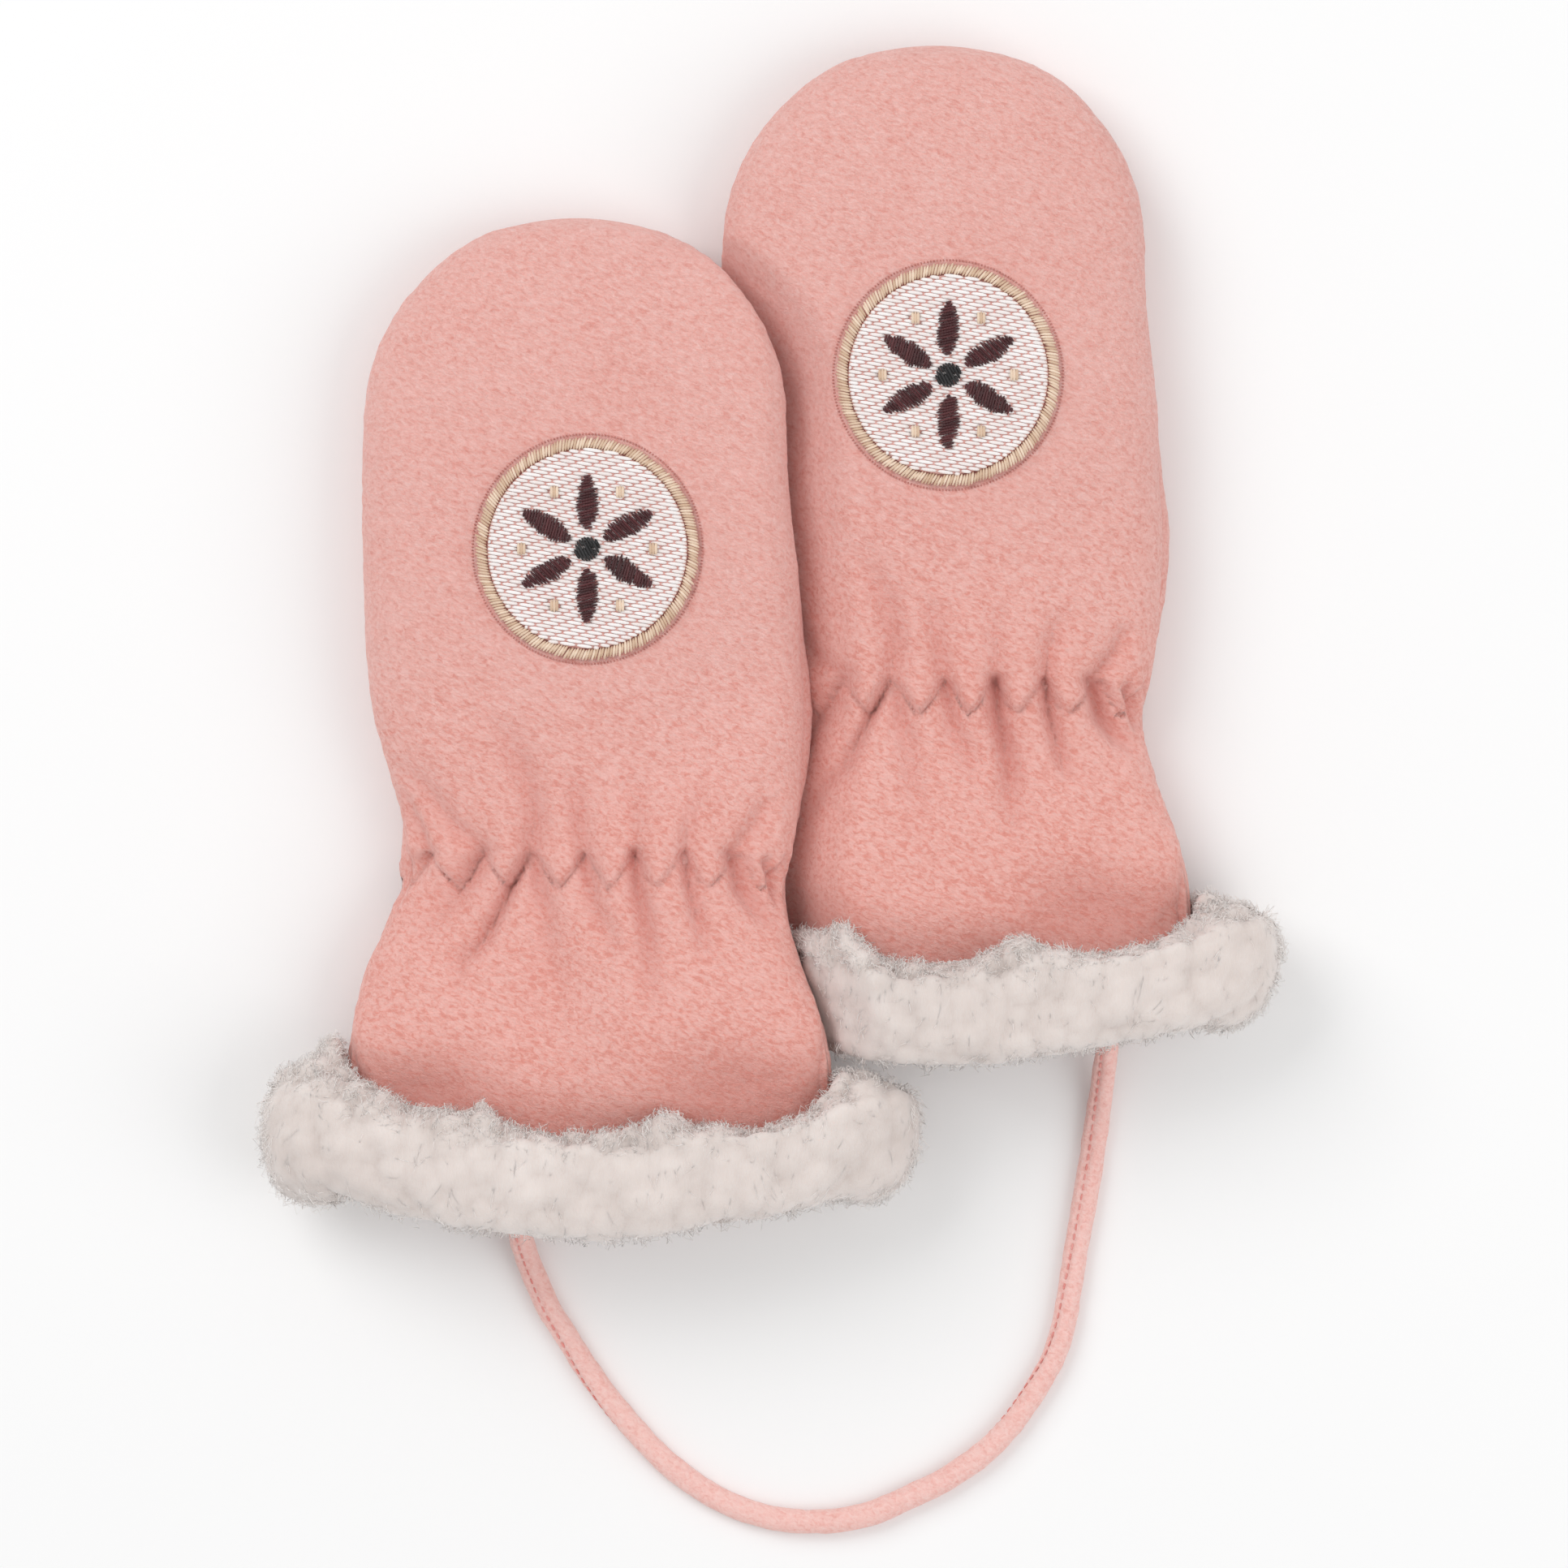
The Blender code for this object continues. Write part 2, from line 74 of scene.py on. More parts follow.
def corner(cells, seed):  # one fixed random number from -1 to 1 for each corner of a lattice
    x, y, z = (cells[..., axis].astype(np.uint64) * np.uint64(lattice["factors"][axis]) for axis in range(3))
    mixed = x ^ y ^ z ^ np.uint64(seed * lattice["seedFactor"])
    mixed = (mixed ^ (mixed >> np.uint64(13))) * np.uint64(lattice["stir"])
    mixed = mixed ^ (mixed >> np.uint64(16))
    return (mixed % np.uint64(lattice["levels"])).astype(float) / ((lattice["levels"] - 1) / 2) - 1


def lumps(points, size, seed):  # soft random lumps of about one size, from -1 to 1
    spots = points / size + lattice["shift"]
    low = np.floor(spots)
    t = spots - low
    t = t * t * (3 - 2 * t)
    low = low.astype(np.int64)
    total = 0.0
    for dx in (0, 1):
        for dy in (0, 1):
            for dz in (0, 1):
                share = np.abs(1 - dx - t[..., 0]) * np.abs(1 - dy - t[..., 1]) * np.abs(1 - dz - t[..., 2])
                total = total + share * corner(low + np.array((dx, dy, dz)), seed)
    return total


def gridNormals(grid):  # a grid of points, rows by columns
    down = np.gradient(grid, axis=0)
    across = np.gradient(grid, axis=1)
    return unit(np.cross(down, across))


def addMesh(name, points, faces, material, tones=None, uvs=None, folds=None):
    mesh = bpy.data.meshes.new(name)
    mesh.from_pydata((np.asarray(points) * mm).tolist(), [], faces)
    piece = bpy.data.objects.new(name, mesh)
    bpy.context.scene.collection.objects.link(piece)
    for label, values in (("tone", tones), ("fold", folds)):
        if values is not None:
            attribute = mesh.attributes.new(label, "FLOAT", "POINT")
            attribute.data.foreach_set("value", np.asarray(values, np.float32))
    if uvs is not None:
        corners = np.zeros(len(mesh.loops), np.int32)
        mesh.loops.foreach_get("vertex_index", corners)
        mesh.uv_layers.new(name="strand").data.foreach_set("uv", np.asarray(uvs, np.float32)[corners].ravel())
    bpy.ops.object.select_all(action="DESELECT")
    piece.select_set(True)
    bpy.context.view_layer.objects.active = piece
    bpy.ops.object.mode_set(mode="EDIT")
    bpy.ops.mesh.select_all(action="SELECT")
    bpy.ops.mesh.normals_make_consistent(inside=False)
    bpy.ops.object.mode_set(mode="OBJECT")
    bpy.ops.object.shade_smooth()
    mesh.materials.append(material)
    return piece


def modelStrand(sides, rings):  # one strand along Z, drawn out ring by ring, each a height and a radius
    bpy.ops.object.select_all(action="DESELECT")
    height, radius = rings[0]
    bpy.ops.mesh.primitive_circle_add(vertices=sides, radius=radius, fill_type="NGON", location=(0, 0, height))
    strand = bpy.context.object
    bpy.ops.object.mode_set(mode="EDIT")
    bpy.ops.mesh.select_all(action="SELECT")
    for nextHeight, nextRadius in rings[1:]:
        bpy.ops.mesh.extrude_region_move(TRANSFORM_OT_translate={"value": (0, 0, nextHeight - height)})
        grow = nextRadius / radius
        bpy.ops.transform.resize(value=(grow, grow, 1), center_override=(0, 0, nextHeight))
        height, radius = nextHeight, nextRadius
    bpy.ops.mesh.select_all(action="SELECT")
    bpy.ops.mesh.normals_make_consistent(inside=False)
    bpy.ops.object.mode_set(mode="OBJECT")
    strand.data.transform(strand.matrix_world)
    # Blender can number the points and faces anew on each run, so both are put in a fixed order
    points = np.array([vertex.co[:] for vertex in strand.data.vertices])
    order = np.lexsort(points.T)
    numbers = np.argsort(order)
    faces = []
    for face in strand.data.polygons:
        corners = numbers[list(face.vertices)].tolist()
        first = corners.index(min(corners))
        faces.append(tuple(corners[first:] + corners[:first]))
    bpy.data.objects.remove(strand)
    return points[order], sorted(faces)


def copyFaces(faces, count, size):  # the faces of many copies of one strand
    return [tuple(size * i + v for v in face) for i in range(count) for face in faces]


# materials

def colour(code):  # an sRGB hex value as linear light
    parts = [int(code[i:i + 2], 16) / 255 for i in (1, 3, 5)]
    return tuple(c / 12.92 if c <= 0.04045 else ((c + 0.055) / 1.055) ** 2.4 for c in parts) + (1.0,)


def addNode(material, kind, links=(), stops=(), **settings):
    node = material.node_tree.nodes.new(kind)
    setNode(material, node, links, **settings)
    while stops and len(node.color_ramp.elements) < len(stops):
        node.color_ramp.elements.new(0.5)
    for i, (place, code) in enumerate(stops):
        node.color_ramp.elements[i].position = place
        node.color_ramp.elements[i].color = colour(code)
    return node


def setNode(material, node, links=(), **settings):  # links: (socket here, node there, its output or a value)
    for name, value in settings.items():
        if hasattr(node, name):
            setattr(node, name, value)
        else:
            node.inputs[name.replace("_", " ")].default_value = value
    for socket, source, output in links:
        if source is None:
            node.inputs[socket].default_value = output
        else:
            material.node_tree.links.new(source.outputs[output], node.inputs[socket])


def newMaterial(name, **settings):
    material = bpy.data.materials.new(name)
    material.use_nodes = True
    shader = material.node_tree.nodes["Principled BSDF"]
    setNode(material, shader, **settings)
    return material, shader


fleeceLook = {
    "pale": "#F3C2BB", "middle": "#EDB2A9", "fleck": "#E1968B",
    "fleckLength": 1.2, "fleckWidth": 0.65,  # the streaks where the pile parts, in mm
    "patch": 11.0, "patchShare": 0.12,  # broad lighter and darker places, in mm
    "smoothContrast": 0.7, "wornContrast": 0.6,  # the worn lower part is more mottled by this much
    "warmLightColour": "#FAAA9A", "warmLightShare": 0.24,  # and painted warm light makes it warmer by this much
    "napDepth": 0.45, "foldShadeColour": "#D3877D",  # painted shade in the creases, the dips by the fur and along the drawn-in line: a darker, redder pink
}
cordFleeceLook = {
    "pale": "#FDD4CD", "middle": "#F9C8C0", "fleck": "#F0B2A8",
    "fleckLength": 0.9, "fleckWidth": 0.6, "patch": 11.0, "patchShare": 0.1,
    "smoothContrast": 0.8, "wornContrast": 0.0, "warmLightColour": "#F9CCC6", "warmLightShare": 0.0,
    "napDepth": 0.25, "foldShadeColour": "#E9A79F",
}


def makeFleece(name, look):  # polar fleece, knitted polyester brushed to a thick nap: soft, mottled, no gloss
    material, shader = newMaterial(
        name, Roughness=0.95, Specular_IOR_Level=0.15,
        Sheen_Weight=0.4, Sheen_Roughness=0.5, Sheen_Tint=colour("#F4E6E3"),
        Subsurface_Weight=0.1, Subsurface_Scale=0.0008, Subsurface_Radius=(1.0, 0.4, 0.35),
    )
    place = addNode(material, "ShaderNodeTexCoord")
    lean = addNode(
        material, "ShaderNodeMapping", [("Vector", place, "Object")], vector_type="TEXTURE",
        Rotation=(0.0, 0.0, math.radians(-24)),
        Scale=(look["fleckLength"] * mm, look["fleckWidth"] * mm, look["fleckWidth"] * mm),
    )
    flecks = addNode(
        material, "ShaderNodeTexNoise", [("Vector", lean, "Vector")],
        Scale=1.0, Detail=3.0, Roughness=0.65, Distortion=0.6,
    )
    patches = addNode(
        material, "ShaderNodeTexNoise", [("Vector", place, "Object")],
        Scale=1 / (look["patch"] * mm), Detail=2.0, Roughness=0.5,
    )
    mixed = addNode(
        material, "ShaderNodeMix",
        [("Factor", None, look["patchShare"]), ("A", flecks, "Fac"), ("B", patches, "Fac")],
    )
    wearAndWarmLight = addNode(material, "ShaderNodeAttribute", attribute_name="tone")
    contrast = addNode(
        material, "ShaderNodeMath",
        [(0, wearAndWarmLight, "Fac"), (1, None, look["wornContrast"]), (2, None, look["smoothContrast"])],
        operation="MULTIPLY_ADD",
    )
    centred = addNode(material, "ShaderNodeMath", [(0, mixed, "Result"), (1, None, 0.5)], operation="SUBTRACT")
    spread = addNode(
        material, "ShaderNodeMath", [(0, centred, "Value"), (1, contrast, "Value"), (2, None, 0.5)],
        operation="MULTIPLY_ADD",
    )
    ramp = addNode(
        material, "ShaderNodeValToRGB", [("Fac", spread, "Value")],
        [(0.34, look["fleck"]), (0.48, look["middle"]), (0.62, look["pale"])],
    )
    # painted warm light: the lower part is mixed toward a warmer, lighter pink
    warmth = addNode(
        material, "ShaderNodeMath", [(0, wearAndWarmLight, "Fac"), (1, None, look["warmLightShare"])], operation="MULTIPLY",
    )
    warmed = addNode(
        material, "ShaderNodeMix", [(0, warmth, "Value"), (6, ramp, "Color"), (7, None, colour(look["warmLightColour"]))],
        data_type="RGBA",
    )
    # painted shade: the pink darkens toward a redder colour where the panel marks its creases and dips
    fold = addNode(material, "ShaderNodeAttribute", attribute_name="fold")
    foldShading = addNode(
        material, "ShaderNodeMix", [(0, fold, "Fac"), (6, warmed, 2), (7, None, colour(look["foldShadeColour"]))],
        data_type="RGBA",
    )
    hairs = addNode(
        material, "ShaderNodeTexNoise", [("Vector", lean, "Vector")],
        Scale=2.2, Detail=3.0, Roughness=0.7, Distortion=0.8,
    )
    bump = addNode(
        material, "ShaderNodeBump", [("Height", hairs, "Fac")], Strength=0.6, Distance=look["napDepth"] * mm,
    )
    setNode(material, shader, [("Base Color", foldShading, 2), ("Normal", bump, "Normal")])
    return material


def makeThread(name, light, dark):  # polyester thread, a two-ply twist: a soft sheen along each stitch
    material, shader = newMaterial(
        name, Roughness=0.42, Specular_IOR_Level=0.4, Sheen_Weight=0.15, Sheen_Roughness=0.4,
    )
    where = addNode(material, "ShaderNodeUVMap", uv_map="strand")
    twist = addNode(
        material, "ShaderNodeTexWave", [("Vector", where, "UV")],
        wave_type="BANDS", bands_direction="DIAGONAL", Scale=1.6, Distortion=0.4, Detail=1.0,
    )
    tone = addNode(material, "ShaderNodeAttribute", attribute_name="tone")
    ramp = addNode(material, "ShaderNodeValToRGB", [("Fac", tone, "Fac")], [(0.0, dark), (1.0, light)])
    bump = addNode(
        material, "ShaderNodeBump", [("Height", twist, "Fac")], Strength=0.4, Distance=0.06 * mm,
    )
    setNode(material, shader, [("Base Color", ramp, "Color"), ("Normal", bump, "Normal")])
    return material


furLook = {
    "body": ("#D7CBC5", "#EBE1DC"), "fibre": ("#F3EBE6", "#FFFAF7"),  # the darker and the lighter tone of each
    "cloud": 5.0, "fibreLength": 2.2, "fibreWidth": 0.3, "fibreDepth": 0.25,  # in mm
}


def makeFur(name, tones, throughLight):  # sherpa pile, crimped acrylic fibre in loose tufts: white and matte
    material, shader = newMaterial(
        name, Roughness=0.9, Specular_IOR_Level=0.15,
        Sheen_Weight=0.4, Sheen_Roughness=0.5,
        Subsurface_Weight=throughLight, Subsurface_Scale=0.003, Subsurface_Radius=(1.0, 0.94, 0.9),
    )
    tone = addNode(material, "ShaderNodeAttribute", attribute_name="tone")
    place = addNode(material, "ShaderNodeTexCoord")
    clouds = addNode(
        material, "ShaderNodeTexNoise", [("Vector", place, "Object")],
        Scale=1 / (furLook["cloud"] * mm), Detail=3.0,
    )
    mixed = addNode(
        material, "ShaderNodeMix", [("Factor", None, 0.5), ("A", tone, "Fac"), ("B", clouds, "Fac")],
    )
    dark, light = furLook[tones]
    ramp = addNode(material, "ShaderNodeValToRGB", [("Fac", mixed, "Result")], [(0.2, dark), (0.8, light)])
    wide, long = furLook["fibreWidth"] * mm, furLook["fibreLength"] * mm
    down = addNode(
        material, "ShaderNodeMapping", [("Vector", place, "Object")], Scale=(1 / wide, 1 / long, 1 / wide),
    )
    fibres = addNode(
        material, "ShaderNodeTexNoise", [("Vector", down, "Vector")],
        Scale=1.0, Detail=2.0, Roughness=0.6, Distortion=0.5,
    )
    bump = addNode(
        material, "ShaderNodeBump", [("Height", fibres, "Fac")],
        Strength=0.45, Distance=furLook["fibreDepth"] * mm,
    )
    setNode(material, shader, [("Base Color", ramp, "Color"), ("Normal", bump, "Normal")])
    return material


fleece = makeFleece("brushedPolarFleece", fleeceLook)
cordFleece = makeFleece("foldedFleeceStrip", cordFleeceLook)
creamThread = makeThread("creamEmbroideryThread", "#FFFBFA", "#F6ECE9")
tanThread = makeThread("tanEmbroideryThread", "#F5DEC7", "#D4B498")
pinkThread = makeThread("pinkSewingThread", "#EFA39B", "#E58C84")
# painted shade for the needle holes round each badge
needleHoleShade = makeThread("needleHoleShade", "#D48C82", "#BE7168")
brownThread = makeThread("brownEmbroideryThread", "#5A2A2D", "#3C181B")
blackThread = makeThread("blackEmbroideryThread", "#2E2D2E", "#191819")
fur = makeFur("sherpaPile", "body", 0.55)
furFibre = makeFur("sherpaFibre", "fibre", 0.0)  # one fibre is too thin for light to spread inside it
print("the materials are made")


# the form of a mitten, in its own frame: across, along from the fingertips, and up

mittenForm = {
    "along": (30, 42, 54, 66, 76, 86, 93, 99, 105, 111, 117, 124, 131, 160),
    "left": (-33.4, -33.5, -33.5, -32.9, -31.4, -28.8, -27.1, -26.7, -29.6, -32.8, -34.6, -35.6, -36.0, -36.0),
    "right": (29.3, 29.6, 31.0, 31.6, 31.8, 31.2, 30.2, 29.3, 29.8, 31.6, 33.9, 35.7, 36.4, 36.4),
    "top": (18.4, 19.0, 19.0, 18.8, 18.2, 17.4, 16.8, 16.5, 16.7, 17.2, 17.9, 18.6, 19.0, 19.0),
    "under": (0.0, 0.0, 0.0, 0.0, 0.0, 0.0, 0.0, 0.0, 0.4, 1.2, 2.4, 3.7, 4.5, 4.5),
    "seam": (7.6, 7.8, 7.8, 7.6, 7.4, 7.0, 6.8, 6.8, 7.2, 8.2, 9.4, 10.8, 11.6, 11.6),
    "tipCentre": -1.8, "tipHeight": 6.5, "tipLength": 30.0, "tipUnderside": 14.0,
    "backRoundness": 2.5, "palmRoundness": 4.0, "restingFlat": 0.25, "wall": 2.4, "seamGap": 0.12,
    # where the palm panel shows past the back: its side, how far along, its reach and its length
    "bulges": ((1, 74.0, 1.4, 13.0), (-1, 99.0, 2.2, 5.5)),
    "sink": 1.6, "sinkLength": 9.0,  # the cloth slopes in where it meets the fur
    "hem": 141.0, "hemDrop": 6.0, "palmHem": 135.0, "palmHemDrop": 1.5, "cornerDrop": 3.0,
    # the higher each of these, the nearer the seams the edge of the mouth bends
    "hemCurve": 1.6, "palmHemCurve": 2, "palmSideCurve": 6, "cornerCurve": 12,
}
gathers = {
    "line": 97.3, "pointDepth": 2.4, "softPoints": 0.35, "sharpPoints": 0.65,  # how round and how sharp the zigzag is
    "pointsAcross": (-26.2, -19.2, -11.6, -4.1, 3.4, 10.1, 17.8, 26.3),
    "palmPoints": 8, "unevenness": 0.12,
    "foldAbove": 0.4, "foldBelow": 0.35, "crispness": 0.8, "fadeAbove": 9.0, "fadeBelow": 7.0,
    "pouch": 0.9, "pouchRise": 0.8, "pinch": 0.68, "pinchWidth": 0.45,
    "seamFade": 0.35,  # the gathers fade out this near the seams
}
# the main creases: where each runs, from the drawn-in line outward (across, along), its depth and width
creases = (
    (((-23.9, 94.2), (-26.5, 88.4), (-28.4, 84.0)), 1.3, 1.0),
    (((-15.7, 94.4), (-20.3, 90.4), (-23.9, 85.6), (-28.4, 80.3)), 1.6, 1.6),
    (((-8.8, 94.8), (-7.8, 89.9), (-8.8, 84.1), (-11.2, 78.8), (-15.0, 74.0)), 2.0, 1.7),
    (((-0.6, 94.8), (-1.6, 87.5), (-2.5, 82.2)), 1.6, 1.3),
    (((7.1, 94.6), (7.6, 82.7)), 1.1, 1.0),
    (((14.5, 94.6), (15.2, 89.4), (17.2, 83.6)), 1.7, 1.0),
    (((21.5, 94.6), (25.3, 89.9), (27.2, 85.6)), 1.8, 1.1),
    (((-23.6, 94.7), (-28.0, 98.5)), 1.6, 1.1),
    (((-15.7, 94.4), (-17.9, 98.0), (-20.3, 100.9), (-22.2, 103.8), (-27.0, 107.6)), 2.3, 1.8),
    (((-8.8, 94.7), (-10.7, 98.0), (-13.1, 102.8), (-15.5, 107.2), (-18.4, 110.0), (-20.0, 115.3)), 2.9, 0.9),
    (((-8.0, 96.0), (-7.0, 99.0), (-5.9, 103.8), (-5.4, 110.0), (-3.0, 117.2)), 2.0, 1.4),
    (((-0.6, 95.0), (0.4, 98.0), (1.3, 102.4), (3.2, 106.2), (4.2, 111.0)), 2.2, 1.3),
    (((7.1, 94.8), (7.6, 99.5), (8.5, 103.8), (9.2, 107.6), (9.2, 112.4), (10.4, 119.6)), 3.4, 1.3),
    (((14.5, 94.7), (15.2, 99.0), (16.2, 102.8), (17.2, 107.2), (18.6, 110.0)), 3.0, 0.9),
    (((21.5, 94.8), (23.4, 100.0), (25.8, 102.8), (29.0, 105.4)), 3.6, 1.3),
    (((26.8, 96.0), (28.0, 99.5), (28.8, 103.0)), 2.3, 0.8),
)
# where the back dips in toward the fur: its middle (across, along), its reach each way and its depth
hollows = (
    ((-23.5, 128.5), (9.5, 5.0), 2.2), ((21.5, 127.5), (11.5, 5.5), 2.6),
)


def nose(along, length):
    return np.sqrt(np.maximum(0.0, 1 - (1 - np.clip(along / length, 0.0, 1.0)) ** 2))


def sectionAt(along):
    form, names = mittenForm, ("left", "right", "top", "under", "seam")
    found = {name: curveThrough(form["along"], form[name], along) for name in names}
    grown = nose(along, form["tipLength"])
    seam = form["tipHeight"] + (found["seam"] - form["tipHeight"]) * grown
    return {
        "left": form["tipCentre"] + (found["left"] - form["tipCentre"]) * grown,
        "right": form["tipCentre"] + (found["right"] - form["tipCentre"]) * grown,
        "top": form["tipHeight"] + (found["top"] - form["tipHeight"]) * grown,
        "under": np.where(
            along < form["tipLength"], seam * (1 - nose(along, form["tipUnderside"])), found["under"],
        ),
        "seam": seam,
    }


def plainPoint(angle, along):  # the angle runs over the back from the left seam, then under the palm
    angle, along = np.broadcast_arrays(np.asarray(angle, float), np.asarray(along, float))
    form, section = mittenForm, sectionAt(along)
    share = -np.cos(angle)
    onBack = np.sin(angle) >= 0
    roundness = np.where(onBack, form["backRoundness"], form["palmRoundness"])
    lobe = np.maximum(0.0, 1 - np.abs(share) ** roundness) ** (1 / roundness)
    across = (section["left"] + section["right"]) / 2 + (section["right"] - section["left"]) / 2 * share
    side = np.where(share > 0, 1, -1)
    swell = np.sin(np.pi * np.minimum(1.0, lobe))
    for bulgeSide, centre, reach, length in form["bulges"]:
        bulge = side * reach * swell * np.exp(-(((along - centre) / length) ** 2))
        across = across + np.where(~onBack & (side == bulgeSide), bulge, 0.0)
    rising = section["seam"] + (section["top"] - section["seam"]) * lobe
    falling = section["seam"] - (section["seam"] - section["under"] + form["restingFlat"]) * lobe
    return np.stack((across, -along, np.where(onBack, rising, falling)), axis=-1)


def outward(angle, along):
    angle, along = np.broadcast_arrays(np.asarray(angle, float), np.asarray(along, float))
    turn, shortest, longest = 0.02, 0.02, 0.4  # the steps that the slopes are measured over
    stride = np.maximum(shortest, np.minimum(longest, along / 2))
    aroundIt = plainPoint(angle + turn, along) - plainPoint(angle - turn, along)
    downIt = plainPoint(angle, along + stride) - plainPoint(angle, np.maximum(0.0, along - stride))
    return unit(np.cross(downIt, aroundIt))


def angleOnBack(across, along):
    section = sectionAt(np.asarray(along, float))
    share = (2 * across - section["left"] - section["right"]) / (section["right"] - section["left"])
    return np.arccos(-np.clip(share, -1.0, 1.0))


def foldTables():
    points = gathers["pointsAcross"]
    back = [0.0, *(float(angleOnBack(across, gathers["line"])) for across in points), math.pi]
    count = gathers["palmPoints"]
    palm = [
        math.pi * (1 + (i + 0.5 + gathers["unevenness"] * math.sin(5 * i)) / count) for i in range(count)
    ]
    return (
        (back, [-0.5, *range(len(points)), len(points)]),
        ([math.pi, *palm, 2 * math.pi], [-0.5, *range(count), count - 0.5]),
    )


backFolds, palmFolds = foldTables()


def foldWave(angle):  # 1 at the tip of a gather's point, and -1 between two points
    angle = np.mod(angle, 2 * np.pi)
    return np.where(
        angle <= np.pi,
        np.cos(2 * np.pi * np.interp(angle, *backFolds)),
        np.cos(2 * np.pi * np.interp(angle, *palmFolds)),
    )


def aboveLine(angle, along):  # how far above the drawn-in line's points a place lies
    wave = foldWave(angle)
    points = 2 / np.pi * np.arcsin(np.clip(wave, -1, 1))  # straight sides make the points sharper
    zigzag = gathers["softPoints"] * wave + gathers["sharpPoints"] * points
    return gathers["line"] + gathers["pointDepth"] * zigzag - along


def awayFromSeams(angle):
    return smoothStep(np.abs(np.sin(angle)) / gathers["seamFade"])


def pinchAt(angle, along):
    return np.exp(-((aboveLine(angle, along) / gathers["pinchWidth"]) ** 2)) * awayFromSeams(angle)


def gather(angle, along):  # how far the drawn-in cloth stands out from the plain form
    g, wave, above = gathers, foldWave(angle), aboveLine(angle, along)
    up, down = np.maximum(above, 0.0), np.maximum(-above, 0.0)
    upper = wave * g["foldAbove"] * (1 - np.exp(-up / g["crispness"])) * np.exp(-up / g["fadeAbove"])
    upper = upper + g["pouch"] * (1 - np.exp(-up / g["pouchRise"])) * np.exp(-up / g["fadeAbove"])
    lower = wave * g["foldBelow"] * (1 - np.exp(-down / g["crispness"])) * np.exp(-down / g["fadeBelow"])
    folds = np.where(above >= 0, upper, lower) * awayFromSeams(angle)
    return folds - g["pinch"] * pinchAt(angle, along)


def creaseDepth(across, along, mirror):  # soft troughs that start at the drawn-in line and fade out
    spots = np.stack((across * mirror, along), axis=-1)
    total, spread, steepness = 0.0, 0.6, 1.5  # a crease widens as it fades
    for route, depth, width in creases:
        deepest = 0.0
        for i, (start, end) in enumerate(zip(route, route[1:])):
            start, way = np.array(start), np.array(end) - np.array(start)
            t = np.clip(((spots - start) @ way) / (way @ way), 0, 1)
            gone = (i + t) / (len(route) - 1)
            far = np.linalg.norm(spots - start - t[..., None] * way, axis=-1)
            trough = (1 - gone ** 3) * np.exp(-((far / (width * (1 + spread * gone))) ** steepness))
            deepest = np.maximum(deepest, trough)
        total = np.maximum(total, depth * deepest)
    return total


def hollowDepth(across, along):
    total = 0.0
    for (x, y), (wide, high), depth in hollows:
        total = total + depth * np.exp(-(((across - x) / wide) ** 2) - ((along - y) / high) ** 2)
    return total


def outerPoint(angle, along):
    return plainPoint(angle, along) + gather(angle, along)[..., None] * outward(angle, along)


def hemAt(angle):
    form, share = mittenForm, np.abs(np.cos(angle))
    corners = form["cornerDrop"] * share ** form["cornerCurve"]
    back = form["hem"] - form["hemDrop"] * share ** form["hemCurve"]
    sides = form["hem"] - form["hemDrop"]
    palm = form["palmHem"] - form["palmHemDrop"] * share ** form["palmHemCurve"]
    palm = palm + (sides - form["palmHem"] + form["palmHemDrop"]) * share ** form["palmSideCurve"]
    return np.where(np.sin(angle) >= 0, back, palm) - corners


# where each mitten lies, and how the left one rides over the right one

layout = {
    "leftTip": (-26.77, 63.24), "rightTip": (26.27, 88.80),
    "along": (20, 50, 70, 85, 97, 108, 118, 130, 140, 149, 165),
    "across": (-42.0, -42.0, -41.0, -38.0, -36.0, -44.0, -58.0, -63.0, -62.0, -62.0, -62.0),
    "run": (16.0, 16.0, 15.0, 14.0, 14.0, 16.0, 18.0, 20.0, 20.0, 20.0, 20.0),
    "lift": (9.4, 9.4, 8.4, 7.2, 6.2, 6.9, 8.4, 10.6, 11.4, 10.4, 0.0),
    "kept": (0.50, 0.50, 0.50, 0.50, 0.50, 0.48, 0.46, 0.45, 0.45, 0.45, 0.45),
    "squeeze": 0.03, "insideEdge": 3.0, "pressRun": 13.0,
}


def placeLeft(points):
    (tipX, tipY), (otherX, otherY) = layout["leftTip"], layout["rightTip"]
    x, y, z = points[..., 0] + tipX, points[..., 1] + tipY, points[..., 2]
    along = otherY - y
    across, run, high = (
        curveThrough(layout["along"], layout[name], along) for name in ("across", "run", "lift")
    )
    lift = high * smoothStep((x - otherX - across) / run)
    return np.stack((x, y, lift + z * (1 - layout["squeeze"] * lift)), axis=-1)


def placeRight(points):
    (otherX, otherY), (tipX, tipY) = layout["leftTip"], layout["rightTip"]
    across, along = points[..., 0], -points[..., 1]
    edge = sectionAt(np.maximum(along - (tipY - otherY), 0.0))["right"] - (tipX - otherX)
    covered = 1 - smoothStep((across - edge + layout["insideEdge"]) / layout["pressRun"])
    kept = curveThrough(layout["along"], layout["kept"], along)
    z = points[..., 2] * (1 - (1 - kept) * covered)
    return np.stack((across + tipX, points[..., 1] + tipY, z), axis=-1)


# the fleece panels: a fine outer skin with its nap, and a coarser inner skin

